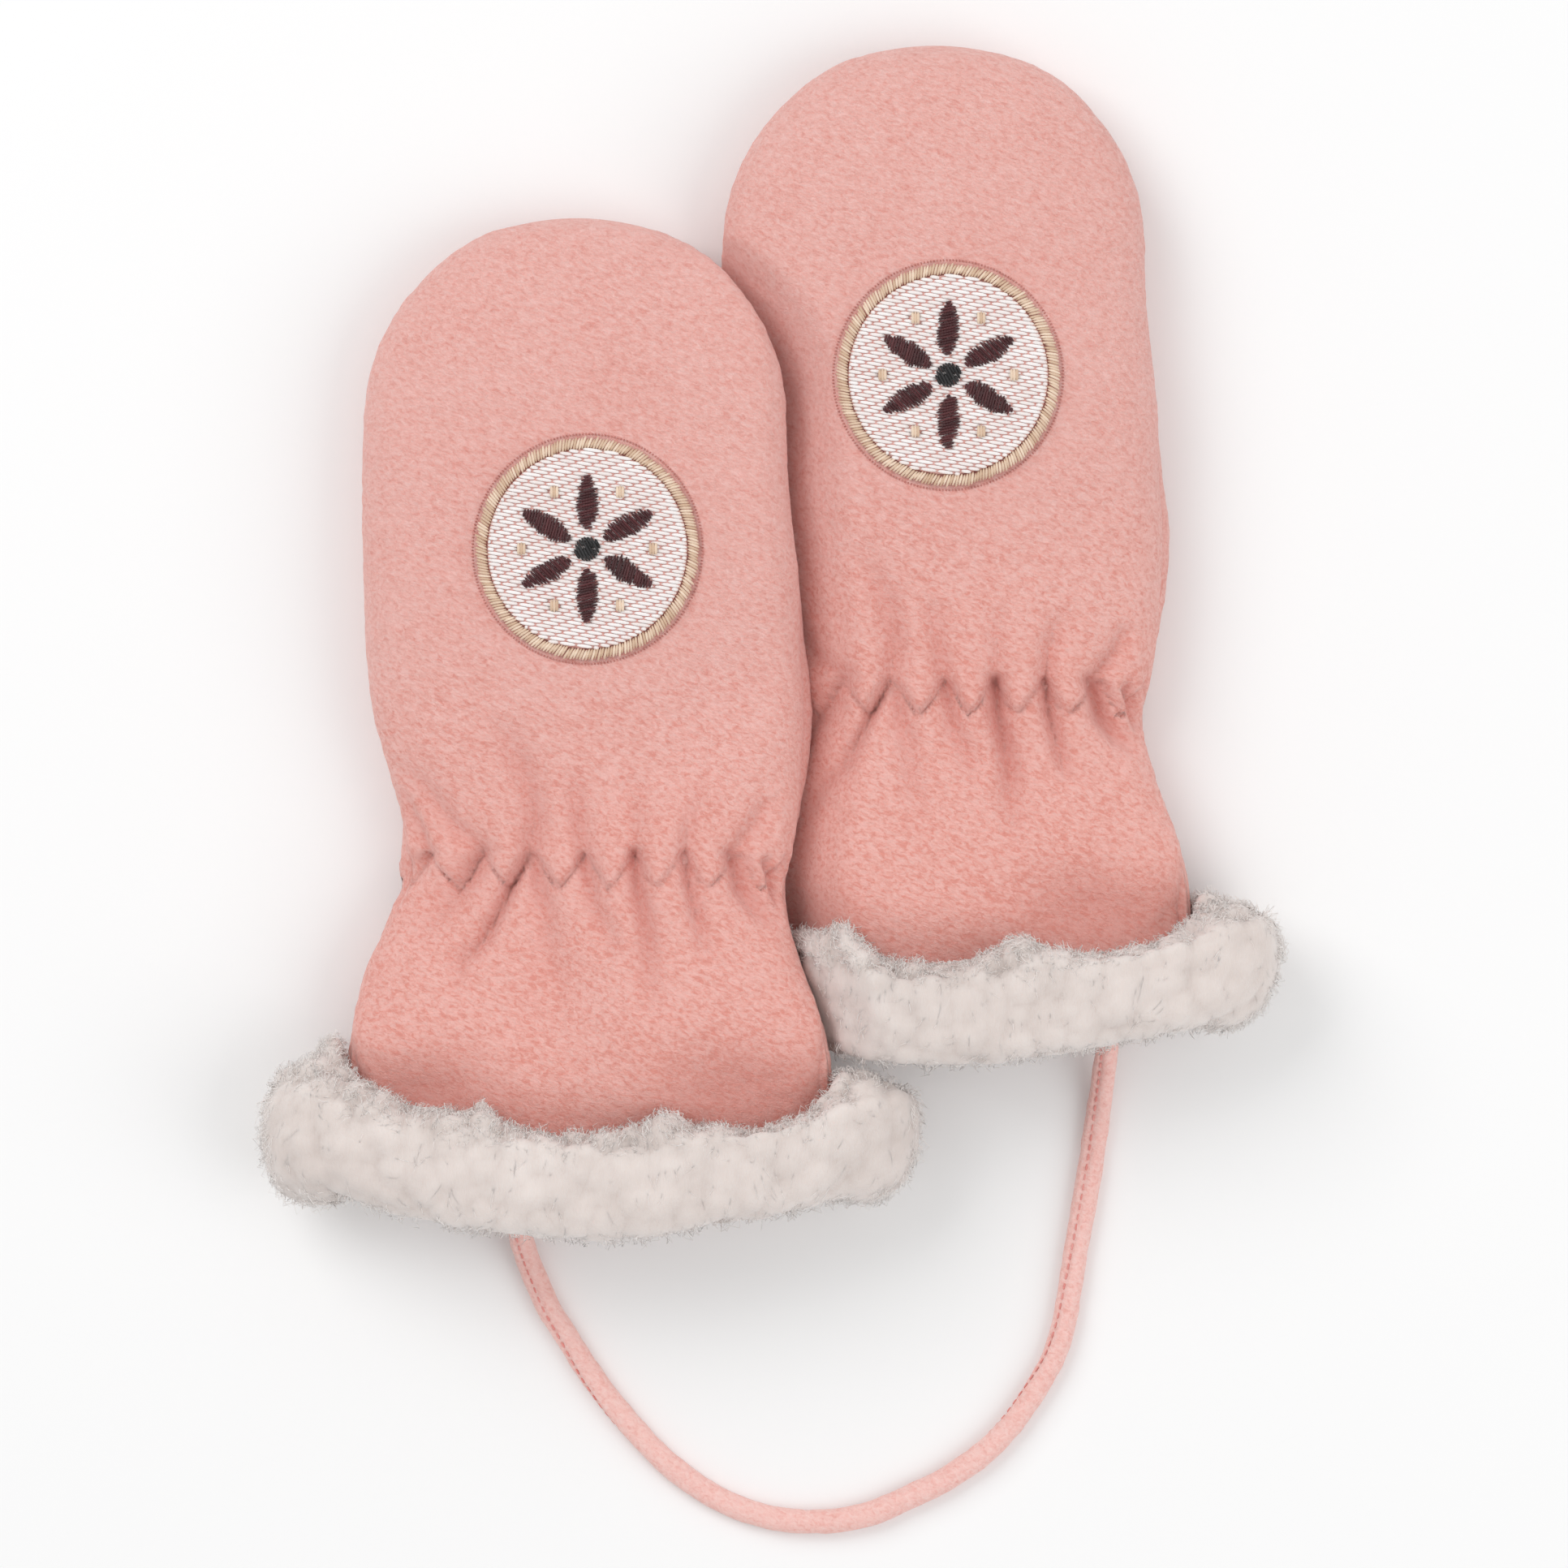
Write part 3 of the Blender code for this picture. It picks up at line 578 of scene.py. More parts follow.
panelMesh = {
    "backStep": 0.62, "palmStep": 0.95,  # distance between points, in mm
    "girth": 78, "tipRun": 46, "bodyRun": 111,  # the cloth that the points are spread over, in mm
    "columnShift": 0.075,  # the columns stand closer over the middle than at the seams
    "innerShare": 4,  # each point inside stands for four outside
    "seamRoll": 0.5, "seamShare": 0.02, "tipRoll": 3.0,  # the cloth rolls in at the seam and at the tip
    "hemFade": 8.0, "restingFade": 0.6,
    "nubs": ((1.5, 0.10, 11), (0.8, 0.07, 12)),  # the nap's tufts: size, height, seed
    "waves": ((9.0, 0.22, 13), (22.0, 0.35, 14)),  # the cloth's own soft unevenness: size, height, seed
    "wearAndLightFrom": 55.0, "wearAndLightRun": 45.0,  # the nap grows more mottled along here, and the painted warm light grows with it
    "foldShade": 0.16, "deepestShade": 0.45, "lineShade": 0.32,  # painted shade per mm of crease or dip depth, its most, and along the drawn-in line
}


def borderOf(rows, columns):
    index = lambda row, column: 1 + row * columns + column
    left = [index(row, 0) for row in range(rows)]
    hem = [index(rows - 1, column) for column in range(1, columns)]
    right = [index(row, columns - 1) for row in range(rows - 2, -1, -1)]
    return [0, *left, *hem, *right]


def sheetFaces(rows, columns, start, flip):
    index = lambda row, column: start + 1 + row * columns + column
    fan = [(start, index(0, c), index(0, c + 1)) for c in range(columns - 1)]
    body = [
        (index(r, c), index(r + 1, c), index(r + 1, c + 1), index(r, c + 1))
        for r in range(rows - 1) for c in range(columns - 1)
    ]
    return [face[::-1] if flip else face for face in fan + body]


def rimFaces(outer, inner, start, ratio):
    faces = []
    for i in range(len(inner)):
        d, e = start + inner[i], start + inner[(i + 1) % len(inner)]
        run = [outer[(ratio * i + k) % len(outer)] for k in range(ratio + 1)]
        middle = ratio // 2
        faces += [(run[k], run[k + 1], d) for k in range(middle)]
        faces.append((run[middle], e, d))
        faces += [(run[k], run[k + 1], e) for k in range(middle, ratio)]
    return faces


def waved(points, normals, share=1.0):  # the cloth's own soft unevenness
    for size, height, seed in panelMesh["waves"]:
        points = points + (share * height * lumps(points, size, seed))[..., None] * normals
    return points


def makePanel(name, place, onBack):
    p, form = panelMesh, mittenForm
    step, ratio = p["backStep"] if onBack else p["palmStep"], p["innerShare"]
    columns = ratio * round(p["girth"] / step / ratio) + 1
    tipRows = round(p["tipRun"] / step)
    bodyRows = ratio * round((p["tipRun"] + p["bodyRun"]) / step / ratio) - tipRows
    folds = backFolds if onBack else palmFolds
    first, last = folds[0][0], folds[0][-1]
    turns = np.linspace(0, 1, columns)
    angles = first + (last - first) * (turns + p["columnShift"] * np.sin(2 * np.pi * turns))
    tips = form["tipLength"] * (1 - np.cos(np.linspace(0, np.pi / 2, tipRows + 1)[1:]))
    shares = np.linspace(0, 1, bodyRows + 1)[1:]
    hems = hemAt(angles)
    body = form["tipLength"] + (hems[None, :] - form["tipLength"]) * shares[:, None]
    alongs = np.concatenate([np.repeat(tips[:, None], columns, axis=1), body])
    turned = np.broadcast_to(angles, alongs.shape)
    skin = outerPoint(turned, alongs)
    skin[..., 2] = np.maximum(0.0, skin[..., 2])
    normals = outward(turned, alongs)
    edge = smoothStep(np.minimum(turns, 1 - turns) / p["seamShare"])[None, :]
    edge = edge * smoothStep(alongs / p["tipRoll"])
    skin = waved(skin, normals, smoothStep((hems - alongs) / p["hemFade"]) * edge)
    troughs = creaseDepth(skin[..., 0], -skin[..., 1], 1 if onBack else -1) * edge
    if onBack:
        start = hems - furCuff["lap"] - form["sinkLength"]
        sinking = form["sink"] * smoothStep((alongs - start) / form["sinkLength"])
        troughs = troughs + (sinking + hollowDepth(skin[..., 0], -skin[..., 1])) * edge
    rolled = p["seamRoll"] * (1 - edge)
    skin = skin - (rolled + troughs)[..., None] * normals
    inside = place((skin - form["wall"] * normals)[ratio - 1::ratio, ::ratio])
    skin = place(skin)
    placed = gridNormals(skin)
    if placed[len(placed) // 2, columns // 2, 2] * (1 if onBack else -1) < 0:
        placed = -placed
    nap = sum(height * lumps(skin, size, seed) for size, height, seed in p["nubs"])
    flat = 1.0 if onBack else smoothStep(skin[..., 2] / p["restingFade"])  # the underside rests flat
    skin = skin + (nap * edge * flat)[..., None] * placed
    skin[..., 2] = np.maximum(0.0, skin[..., 2])
    pole = plainPoint(0.0, 0.0)
    outerPole = place(pole - np.array((0.0, p["seamRoll"], 0.0)))
    innerPole = place(pole - np.array((0.0, form["wall"], 0.0)))
    # the inner skins meet, so that no light comes in by the seam
    shift = form["seamGap"] / 2 * (1 if onBack else -1)
    for sheet, away in ((skin, shift), (inside, -shift)):
        sheet[:, (0, -1), 2] += away
    outerPole[2] += shift
    innerPole[2] -= shift
    rows, innerRows, innerColumns = len(skin), len(inside), inside.shape[1]
    points = np.concatenate([[outerPole], skin.reshape(-1, 3), [innerPole], inside.reshape(-1, 3)])
    start = 1 + rows * columns
    faces = sheetFaces(rows, columns, 0, False) + sheetFaces(innerRows, innerColumns, start, True)
    faces += rimFaces(borderOf(rows, columns), borderOf(innerRows, innerColumns), start, ratio)
    # the nap's mottle and the painted warm light grow toward the mouth
    wearAndWarmLight = smoothStep((alongs - p["wearAndLightFrom"]) / p["wearAndLightRun"])
    # painted shade in the creases, the dips by the fur and along the drawn-in line
    foldShading = np.clip(p["foldShade"] * troughs, 0, p["deepestShade"])
    if onBack:
        foldShading = np.maximum(foldShading, p["lineShade"] * pinchAt(turned, alongs))
    unworn = np.zeros(1 + inside.size // 3)
    tones, shades = (np.concatenate([[0.0], values.ravel(), unworn]) for values in (wearAndWarmLight, foldShading))
    panel = addMesh(name, points, faces, fleece, tones, folds=shades)
    squares = np.cross(np.diff(skin, axis=0)[:, :-1], np.diff(skin, axis=1)[:-1])
    area = np.linalg.norm(squares, axis=-1).sum()
    print(name, "has", len(faces), "faces and an outer skin of", round(area), "square mm")
    return panel


# the fur cuffs: a soft body of tufts, with fine curled strands along its edges

furCuff = {
    "backLength": 11.0, "sideLength": 15.0, "palmLength": 10.5,
    "backPile": 8.5, "sidePile": 12.6, "palmPile": 4.5,
    "lap": 4.6, "gap": 0.8,
    # how much further the fur laps the back at places across it, with its two largest curls
    "edgeAcross": (-36.0, -31.0, -28.0, -21.6, -17.6, -15.2, -12.6, -8.9,
                   -1.4, 1.8, 7.4, 11.3, 15.5, 21.0, 33.0, 36.0),
    "edgeExtra": (1.4, 1.8, 1.4, 1.8, 2.4, 3.8, 1.3, 0.4, 0.4, 0.7, 1.5, 2.8, 0.8, -0.8, -1.4, -1.0),
    "palmWander": (7.0, 2.0, 24),  # size, height, seed
    "leftCrest": 5.4, "rightCrest": 2.5,  # how far the two ends reach up beside the fleece
    "inset": 1.0,  # the body lies this far inside the reach of the strands
    "aroundSteps": 400, "outlineSteps": 84,
    "sideShift": 0.175,  # its rings stand closer over the middle than at the sides
    "swell": (9.0, 0.5, 20), "tufts": (4.4, 1.1, 21), "smallTufts": (2.3, 0.35, 22),  # size, height, seed
    "tuftLevel": 0.55, "bare": 0.5, "bareRun": 3.0,  # no tufts where the fur is sewn to the panel
    "lapFrom": 0.25, "lapRun": 0.5,  # shares of the lap, from where it counts as its edge
    "edgeTufts": 1.1,  # how much taller the tufts are along the edge that laps the fleece
    "endShade": 0.5,  # how much painted shade greys the pile along that edge and at its two ends
    "rimFrom": 1.2, "rimSlope": 2.0,  # where the surface turns away from above
    "strands": 5600, "strandLength": (1.4, 3.2), "strandRadius": 0.055, "radiusSpread": (0.7, 0.6),
    "density": (0.03, 0.7, 0.6),  # of strands all over, more along the edge, more where it turns away
    "sewnDensity": 0.08, "lowest": 0.8, "lowDensity": 0.15,  # few where it is sewn and where it rests
    "tuftTips": 620, "tuftRise": 1.3, "tuftLean": 1.4,  # the tufts that the strands end in
    "gathered": 0.63,  # how strongly the strands draw together
    "edgeStand": 1.6, "edgeShorter": 0.3, "rise": (0.0, 0.05), "edgeRise": 7.0,
    "swirl": (5.0, 31), "scatter": 0.4,  # size, seed
    "tipLean": 0.85, "bendLean": 0.35, "bendRise": 0.06, "bendStand": 0.2, "rooted": 0.25,
    "curlRadius": 0.12, "curlTurns": 1.3, "curlAll": 0.15, "curlStanding": 2.3,
    "floorGap": 0.02, "strandTones": (0.4, 0.6),
}
furStrand = modelStrand(3, [(0.0, 1.0), (0.35, 0.95), (0.7, 0.75), (1.0, 0.25)])


def domes(points, size, seed):  # rounded tops that meet in creases, from 0 to 1
    spots = points / size + lattice["shift"]
    low = np.floor(spots).astype(np.int64)
    nearest = np.ones(points.shape[:-1])
    for dx in (-1, 0, 1):
        for dy in (-1, 0, 1):
            for dz in (-1, 0, 1):
                cell = low + np.array((dx, dy, dz))
                middle = cell + 0.5 + 0.4 * np.stack([corner(cell, seed + axis) for axis in range(3)], axis=-1)
                nearest = np.minimum(nearest, ((spots - middle) ** 2).sum(axis=-1))
    return 1 - nearest


def cuffOutline(pile, length, crest, lap, inset):  # each row: out from the panel's skin, and past its edge
    wall, gap = mittenForm["wall"], furCuff["gap"]
    out, run, low = pile - inset, length - inset, lap - 0.6 * inset
    zero = np.zeros_like(pile)
    rows = (
        (zero - wall, zero + gap),
        (zero - wall, 0.5 * run),
        (zero - wall + 0.7, 0.82 * run),
        (0.3 * out, run),
        (0.76 * out, 0.86 * run),
        (out, 0.45 * run),
        (out, -1.5 + 0.6 * crest),
        (0.8 * out, -0.8 * low + 0.1 * crest),
        (0.45 * out, -low - 0.4 * crest),
        (0.15 * out, -low - 0.7 * crest),
        (zero + gap, zero - low),
        (zero + gap, zero + gap),
    )
    return np.stack([np.stack(row, axis=-1) for row in rows], axis=-2)


def smoothLoop(rows, count):  # a closed smooth curve through each cross-section's rows
    size = rows.shape[-2]
    at = np.arange(count) * size / count
    i, t = np.floor(at).astype(int), (at - np.floor(at))[:, None]
    before, here, there, after = (rows[..., (i + k) % size, :] for k in (-1, 0, 1, 2))
    return 0.5 * (
        2 * here + (there - before) * t
        + (2 * before - 5 * here + 4 * there - after) * t ** 2
        + (3 * here - before - 3 * there + after) * t ** 3
    )


def cuffGrid(inset, seed):
    c = furCuff
    turns = np.linspace(0, 2 * np.pi, c["aroundSteps"], endpoint=False)
    angles = turns + c["sideShift"] * np.sin(2 * turns)
    hems = hemAt(angles)
    direction = outward(angles, hems)
    sideways, onBack = direction[:, 0] ** 2, direction[:, 2] >= 0
    pile = np.where(onBack, c["backPile"], c["palmPile"])
    length = np.where(onBack, c["backLength"], c["palmLength"])
    pile = pile + (c["sidePile"] - pile) * sideways
    length = length + (c["sideLength"] - length) * sideways
    crest = sideways * np.where(direction[:, 0] < 0, c["leftCrest"], c["rightCrest"])
    hemPoints = plainPoint(angles, hems)
    size, reach, wanderSeed = c["palmWander"]
    wander = (1 - sideways) * reach * lumps(hemPoints, size, wanderSeed + seed)
    extra = curveThrough(c["edgeAcross"], c["edgeExtra"], hemPoints[:, 0])
    lap = c["lap"] + np.where(onBack, extra, sideways * extra + wander)
    outline = smoothLoop(cuffOutline(pile, length, crest, lap, inset), c["outlineSteps"])
    flat = plainPoint(angles[:, None], hems[:, None] + outline[..., 1])
    flat = flat + outline[..., :1] * direction[:, None, :]
    flat[..., 2] = np.maximum(0.0, flat[..., 2])
    return flat, outline, direction


def loopGradient(grid, axis):
    return (np.roll(grid, -1, axis) - np.roll(grid, 1, axis)) / 2


def ringNormals(grid, centre):
    normals = unit(np.cross(loopGradient(grid, 1), loopGradient(grid, 0)))
    return normals * np.sign((normals * (grid - centre)).sum(-1).mean())


def growStrands(grid, normals, outside, lapping, random):
    c = furCuff
    around, across = grid.shape[:2]
    areas = np.linalg.norm(np.cross(loopGradient(grid, 0), loopGradient(grid, 1)), axis=-1)
    rimmed = smoothStep(c["rimFrom"] - c["rimSlope"] * np.abs(normals[..., 2]))
    allOver, alongEdge, atRim = c["density"]
    weight = areas * (c["sewnDensity"] + outside) * np.where(grid[..., 2] < c["lowest"], c["lowDensity"], 1.0)
    weight = weight * (allOver + alongEdge * lapping + atRim * rimmed)
    picks = random.choice(weight.size, c["strands"], p=(weight / weight.sum()).ravel())
    a, b = np.divmod(picks, across)
    s, t = random.random((2, c["strands"], 1))
    roots = (
        grid[a, b] * (1 - s) * (1 - t) + grid[(a + 1) % around, b] * s * (1 - t)
        + grid[a, (b + 1) % across] * (1 - s) * t + grid[(a + 1) % around, (b + 1) % across] * s * t
    )
    count, normal = len(roots), normals[a, b]
    # the pile is combed over the mouth's side, and stands up in curls along the edge that laps the fleece
    overEdge = lapping[a, b, None]
    standing = np.maximum(overEdge, rimmed[a, b, None])
    combed = unit(-loopGradient(grid, 1))[a, b] * (1 - c["edgeStand"] * overEdge)
    size, swirlSeed = c["swirl"]
    swirl = np.stack([lumps(roots, size, swirlSeed + axis) for axis in range(3)], axis=-1)
    lean = combed + swirl + random.normal(0, c["scatter"], roots.shape)
    lean = unit(lean - (lean * normal).sum(-1, keepdims=True) * normal)
    (lowRise, highRise), (short, long) = c["rise"], c["strandLength"]
    rise = (lowRise + (highRise - lowRise) * random.random((count, 1))) * (1 + c["edgeRise"] * standing)
    reach = (short + (long - short) * random.random((count, 1))) * (1 - c["edgeShorter"] * overEdge)
    picked = random.choice(count, c["tuftTips"], replace=False)
    tufts = roots[picked] + c["tuftRise"] * rise[picked] * normal[picked] + c["tuftLean"] * lean[picked]
    nearest = ((roots[:, None, :] - roots[picked][None, :, :]) ** 2).sum(axis=-1).argmin(axis=1)
    tips = roots + reach * (c["tipLean"] * lean + rise * normal)
    tips = tips + c["gathered"] * random.random((count, 1)) * (tufts[nearest] - tips)
    bendRise = c["bendRise"] + c["bendStand"] * standing + rise
    bends = roots + reach * (c["bendLean"] * lean + bendRise * normal)
    template, faces = furStrand
    t = template[:, 2][None, :, None]
    roots = roots - c["rooted"] * normal
    spine = (1 - t) ** 2 * roots[:, None, :] + 2 * t * (1 - t) * bends[:, None, :] + t * t * tips[:, None, :]
    side, normal = np.cross(normal, lean)[:, None, :], normal[:, None, :]
    turn = 2 * np.pi * (c["curlTurns"] * t + random.random((count, 1, 1)))
    curl = c["curlRadius"] * reach[:, :, None] * t * (c["curlAll"] + c["curlStanding"] * standing[:, :, None])
    spine = spine + curl * (np.cos(turn) * side + np.sin(turn) * normal)
    thinnest, spread = c["radiusSpread"]
    radius = c["strandRadius"] * (thinnest + spread * random.random((count, 1, 1)))
    points = spine + radius * (template[None, :, :1] * side + template[None, :, 1:2] * normal)
    points[..., 2] = np.maximum(c["floorGap"], points[..., 2])
    darkest, spread = c["strandTones"]
    tones = np.repeat(darkest + spread * random.random(count), len(template))
    return points.reshape(-1, 3), copyFaces(faces, count, len(template)), tones


def makeFurCuff(name, place, seed):
    c, random = furCuff, np.random.default_rng(seed)
    flat, outline, direction = cuffGrid(c["inset"], seed)
    grid = place(flat)
    centre = grid.mean(axis=1, keepdims=True)
    outside = smoothStep((outline[..., 0] + c["bare"]) / c["bareRun"])
    lapping = smoothStep((-outline[..., 1] - c["lapFrom"] * c["lap"]) / (c["lapRun"] * c["lap"]))
    size, height, swellSeed = c["swell"]
    raised = height * lumps(grid, size, swellSeed)
    for size, height, tuftSeed in (c["tufts"], c["smallTufts"]):
        tufts = domes(grid, size, tuftSeed + seed) - c["tuftLevel"]
        raised = raised + height * (1 + c["edgeTufts"] * lapping) * tufts
    grid = grid + (outside * raised)[..., None] * ringNormals(grid, centre)
    grid[..., 2] = np.maximum(0.0, grid[..., 2])
    around, across = grid.shape[:2]
    bodyFaces = [
        (a * across + b, ((a + 1) % around) * across + b, ((a + 1) % around) * across + (b + 1) % across,
         a * across + (b + 1) % across)
        for a in range(around) for b in range(across)
    ]
    # painted shade: the pile is lighter on its tufts' tops, darker in the creases between them, and greyer along the
    # lapping edge and at its two ends
    shaded = np.maximum(lapping, direction[:, :1] ** 2)
    bodyTones = np.clip(0.5 + 0.5 * outside * raised - c["endShade"] * shaded, 0, 1).ravel()
    strands, faces, strandTones = growStrands(grid, ringNormals(grid, centre), outside, lapping, random)
    strandFaces = [tuple(around * across + v for v in face) for face in faces]
    piece = addMesh(
        name, np.concatenate([grid.reshape(-1, 3), strands]), bodyFaces + strandFaces, fur,
        np.concatenate([bodyTones, strandTones]),
    )
    piece.data.materials.append(furFibre)
    fibres = np.repeat((0, 1), (len(bodyFaces), len(strandFaces))).astype(np.int32)
    piece.data.polygons.foreach_set("material_index", fibres)
    print(name, "has", len(bodyFaces), "faces in its pile and", c["strands"], "strands")
    return piece


# the badges: filled ground, satin rim, and a plain six-petalled flower

badge = {
    "along": 49.8, "radius": 16.4, "gap": 0.3, "ground": 0.35, "discRings": 14, "discSpokes": 72,
    "fillRadius": 14.6, "fillOver": 0.1, "fillTurn": math.radians(8), "fillSunk": 0.3, "fillArch": 0.26,
    "rowPitch": 0.53, "stitchLength": 2.5, "threadRadius": 0.275,
    "rowShift": 0.37, "shortest": 0.6, "stitchGap": 0.1, "search": 0.05,  # how rows of running stitches are cut
    "rimWidth": 1.75, "rimPitch": 0.46, "rimThread": 0.21, "rimArch": 0.6, "rimInset": 0.05, "rimSlant": 0.045,
    "ragged": 0.14, "raggedRim": 0.7,  # how unevenly the stitches of the petals and the rim end
    "markOut": 0.35, "markLength": 0.32, "markRadius": 0.1,
    "petals": 6, "petalFrom": 2.9, "petalTo": 11.2, "petalWidth": 3.3, "petalPitch": 0.42,
    "petalBelly": 0.8, "petalRound": 0.7, "petalLean": 0.25, "petalShortest": 0.25,
    "petalLift": 0.25, "petalArch": 0.22,
    "centreRadius": 1.9, "centreTurn": 1.1, "centrePitch": 0.42, "centreStitch": 9.0,
    "centreLift": 0.3, "centreArch": 0.35,
    "knots": 6, "knotRing": 9.6, "knotRadius": 0.95, "knotShifts": (-0.4, 0.0, 0.4),
    "knotLift": 0.25, "knotArch": 0.25, "thickThread": 0.24,
}
stitchShape = modelStrand(6, [(0.0, 0.35), (0.1, 0.8), (0.3, 1.0), (0.7, 1.0), (0.9, 0.8), (1.0, 0.35)])


def onBadge(spots, height):  # spots: across and down from the badge's middle
    across, along = spots[..., 0], badge["along"] + spots[..., 1]
    angle = angleOnBack(across, along)
    normals = outward(angle, along)
    return waved(outerPoint(angle, along), normals) + np.asarray(height)[..., None] * normals


def roundStrand(template):  # how far round its strand each point lies, from 0 to 1
    return np.arctan2(template[:, 1], template[:, 0]) / (2 * np.pi) + 0.5


def sewStitches(starts, ends, place, base, arch, radius):
    starts, ends = np.asarray(starts, float), np.asarray(ends, float)
    template, faces = stitchShape
    t = template[:, 2]
    way = ends - starts
    long = np.linalg.norm(way, axis=-1, keepdims=True)
    way = way / long
    sideways = np.stack((-way[:, 1], way[:, 0]), axis=-1)
    flatSpots = (
        starts[:, None, :] + (t[None, :] * long)[..., None] * way[:, None, :]
        + radius * template[None, :, :1] * sideways[:, None, :]
    )
    height = base + arch * np.sin(np.pi * t)[None, :] + radius * (1 + template[None, :, 1])
    height = np.broadcast_to(height, flatSpots.shape[:2])
    points = place(onBadge(flatSpots, height))
    uvs = np.stack((t[None, :] * long, np.broadcast_to(roundStrand(template), height.shape)), axis=-1)
    return points.reshape(-1, 3), copyFaces(faces, len(starts), len(template)), uvs.reshape(-1, 2)


def fillRows(radius, turn, pitch, length):  # staggered rows of running stitches over a round area
    starts, ends = [], []
    c, s = math.cos(turn), math.sin(turn)
    for row in range(round(2 * radius / pitch)):
        y = -radius + (row + 0.5) * pitch
        xs = np.arange(-radius, radius, badge["search"])
        covered = xs[(xs * c - y * s) ** 2 + (xs * s + y * c) ** 2 < radius ** 2]
        if not len(covered):
            continue
        low, high, shortest = covered.min(), covered.max(), badge["shortest"]
        places = np.arange(-radius - length * ((row * badge["rowShift"]) % 1), radius, length)
        cuts = [low, *(x for x in places if low + shortest < x < high - shortest), high]
        for a, b in zip(cuts, cuts[1:]):  # a little of the ground shows between two stitches
            a, b = a + badge["stitchGap"], b - badge["stitchGap"]
            starts.append((a * c - y * s, a * s + y * c))
            ends.append((b * c - y * s, b * s + y * c))
    return starts, ends


def stitchTones(points, seed):  # one tone for each stitch
    size = len(stitchShape[0])
    return np.repeat(np.random.default_rng(seed).random(len(points) // size), size)


def sewPiece(name, stitches, thread, seed):
    points, faces, uvs = stitches
    return addMesh(name, points, faces, thread, stitchTones(points, seed), uvs)


def backingDisc(place):  # a thin disc under the filling
    b, rings, spokes = badge, badge["discRings"], badge["discSpokes"]
    turns = np.linspace(0, 2 * np.pi, spokes, endpoint=False)
    radii = np.linspace(0, b["fillRadius"], rings + 1)[1:]
    spots = np.array([(0.0, 0.0)] + [(r * math.cos(t), r * math.sin(t)) for r in radii for t in turns])
    layers = [place(onBadge(spots, np.full(len(spots), h))) for h in (b["gap"], b["gap"] + b["ground"])]
    count = len(spots)
    discFaces = []
    for base, flip in ((0, True), (count, False)):
        faces = [(base, base + 1 + i, base + 1 + (i + 1) % spokes) for i in range(spokes)]
        faces += [
            (base + 1 + r * spokes + i, base + 1 + (r + 1) * spokes + i,
             base + 1 + (r + 1) * spokes + (i + 1) % spokes, base + 1 + r * spokes + (i + 1) % spokes)
            for r in range(rings - 1) for i in range(spokes)
        ]
        discFaces += [face[::-1] if flip else face for face in faces]
    last = 1 + (rings - 1) * spokes
    discFaces += [
        (last + i, last + (i + 1) % spokes, count + last + (i + 1) % spokes, count + last + i)
        for i in range(spokes)
    ]
    return np.concatenate(layers), discFaces


def petalStitches(random):
    b, starts, ends = badge, [], []
    length = b["petalTo"] - b["petalFrom"]
    steps = round(length / b["petalPitch"])
    for petal in range(b["petals"]):
        turn = 2 * math.pi * petal / b["petals"] + math.radians(90)
        c, s = math.cos(turn), math.sin(turn)
        for i in range(steps):
            share = (i + 0.5) / steps
            out = b["petalFrom"] + length * share
            half = b["petalWidth"] / 2 * math.sin(math.pi * share ** b["petalBelly"]) ** b["petalRound"]
            if half > b["petalShortest"]:
                lean = b["petalLean"] * half
                near, far = half + b["ragged"] * random.normal(0, 1, 2)
                starts.append(((out - lean) * c + near * s, (out - lean) * s - near * c))
                ends.append(((out + lean) * c - far * s, (out + lean) * s + far * c))
    return starts, ends


def dotStitches():
    b, starts, ends = badge, [], []
    for knot in range(b["knots"]):
        turn = 2 * math.pi * (knot + 0.5) / b["knots"] + math.radians(90)
        x, y = b["knotRing"] * math.cos(turn), b["knotRing"] * math.sin(turn)
        for shift in b["knotShifts"]:
            half = math.sqrt(b["knotRadius"] ** 2 - shift ** 2)
            starts.append((x + shift, y - half))
            ends.append((x + shift, y + half))
    return starts, ends


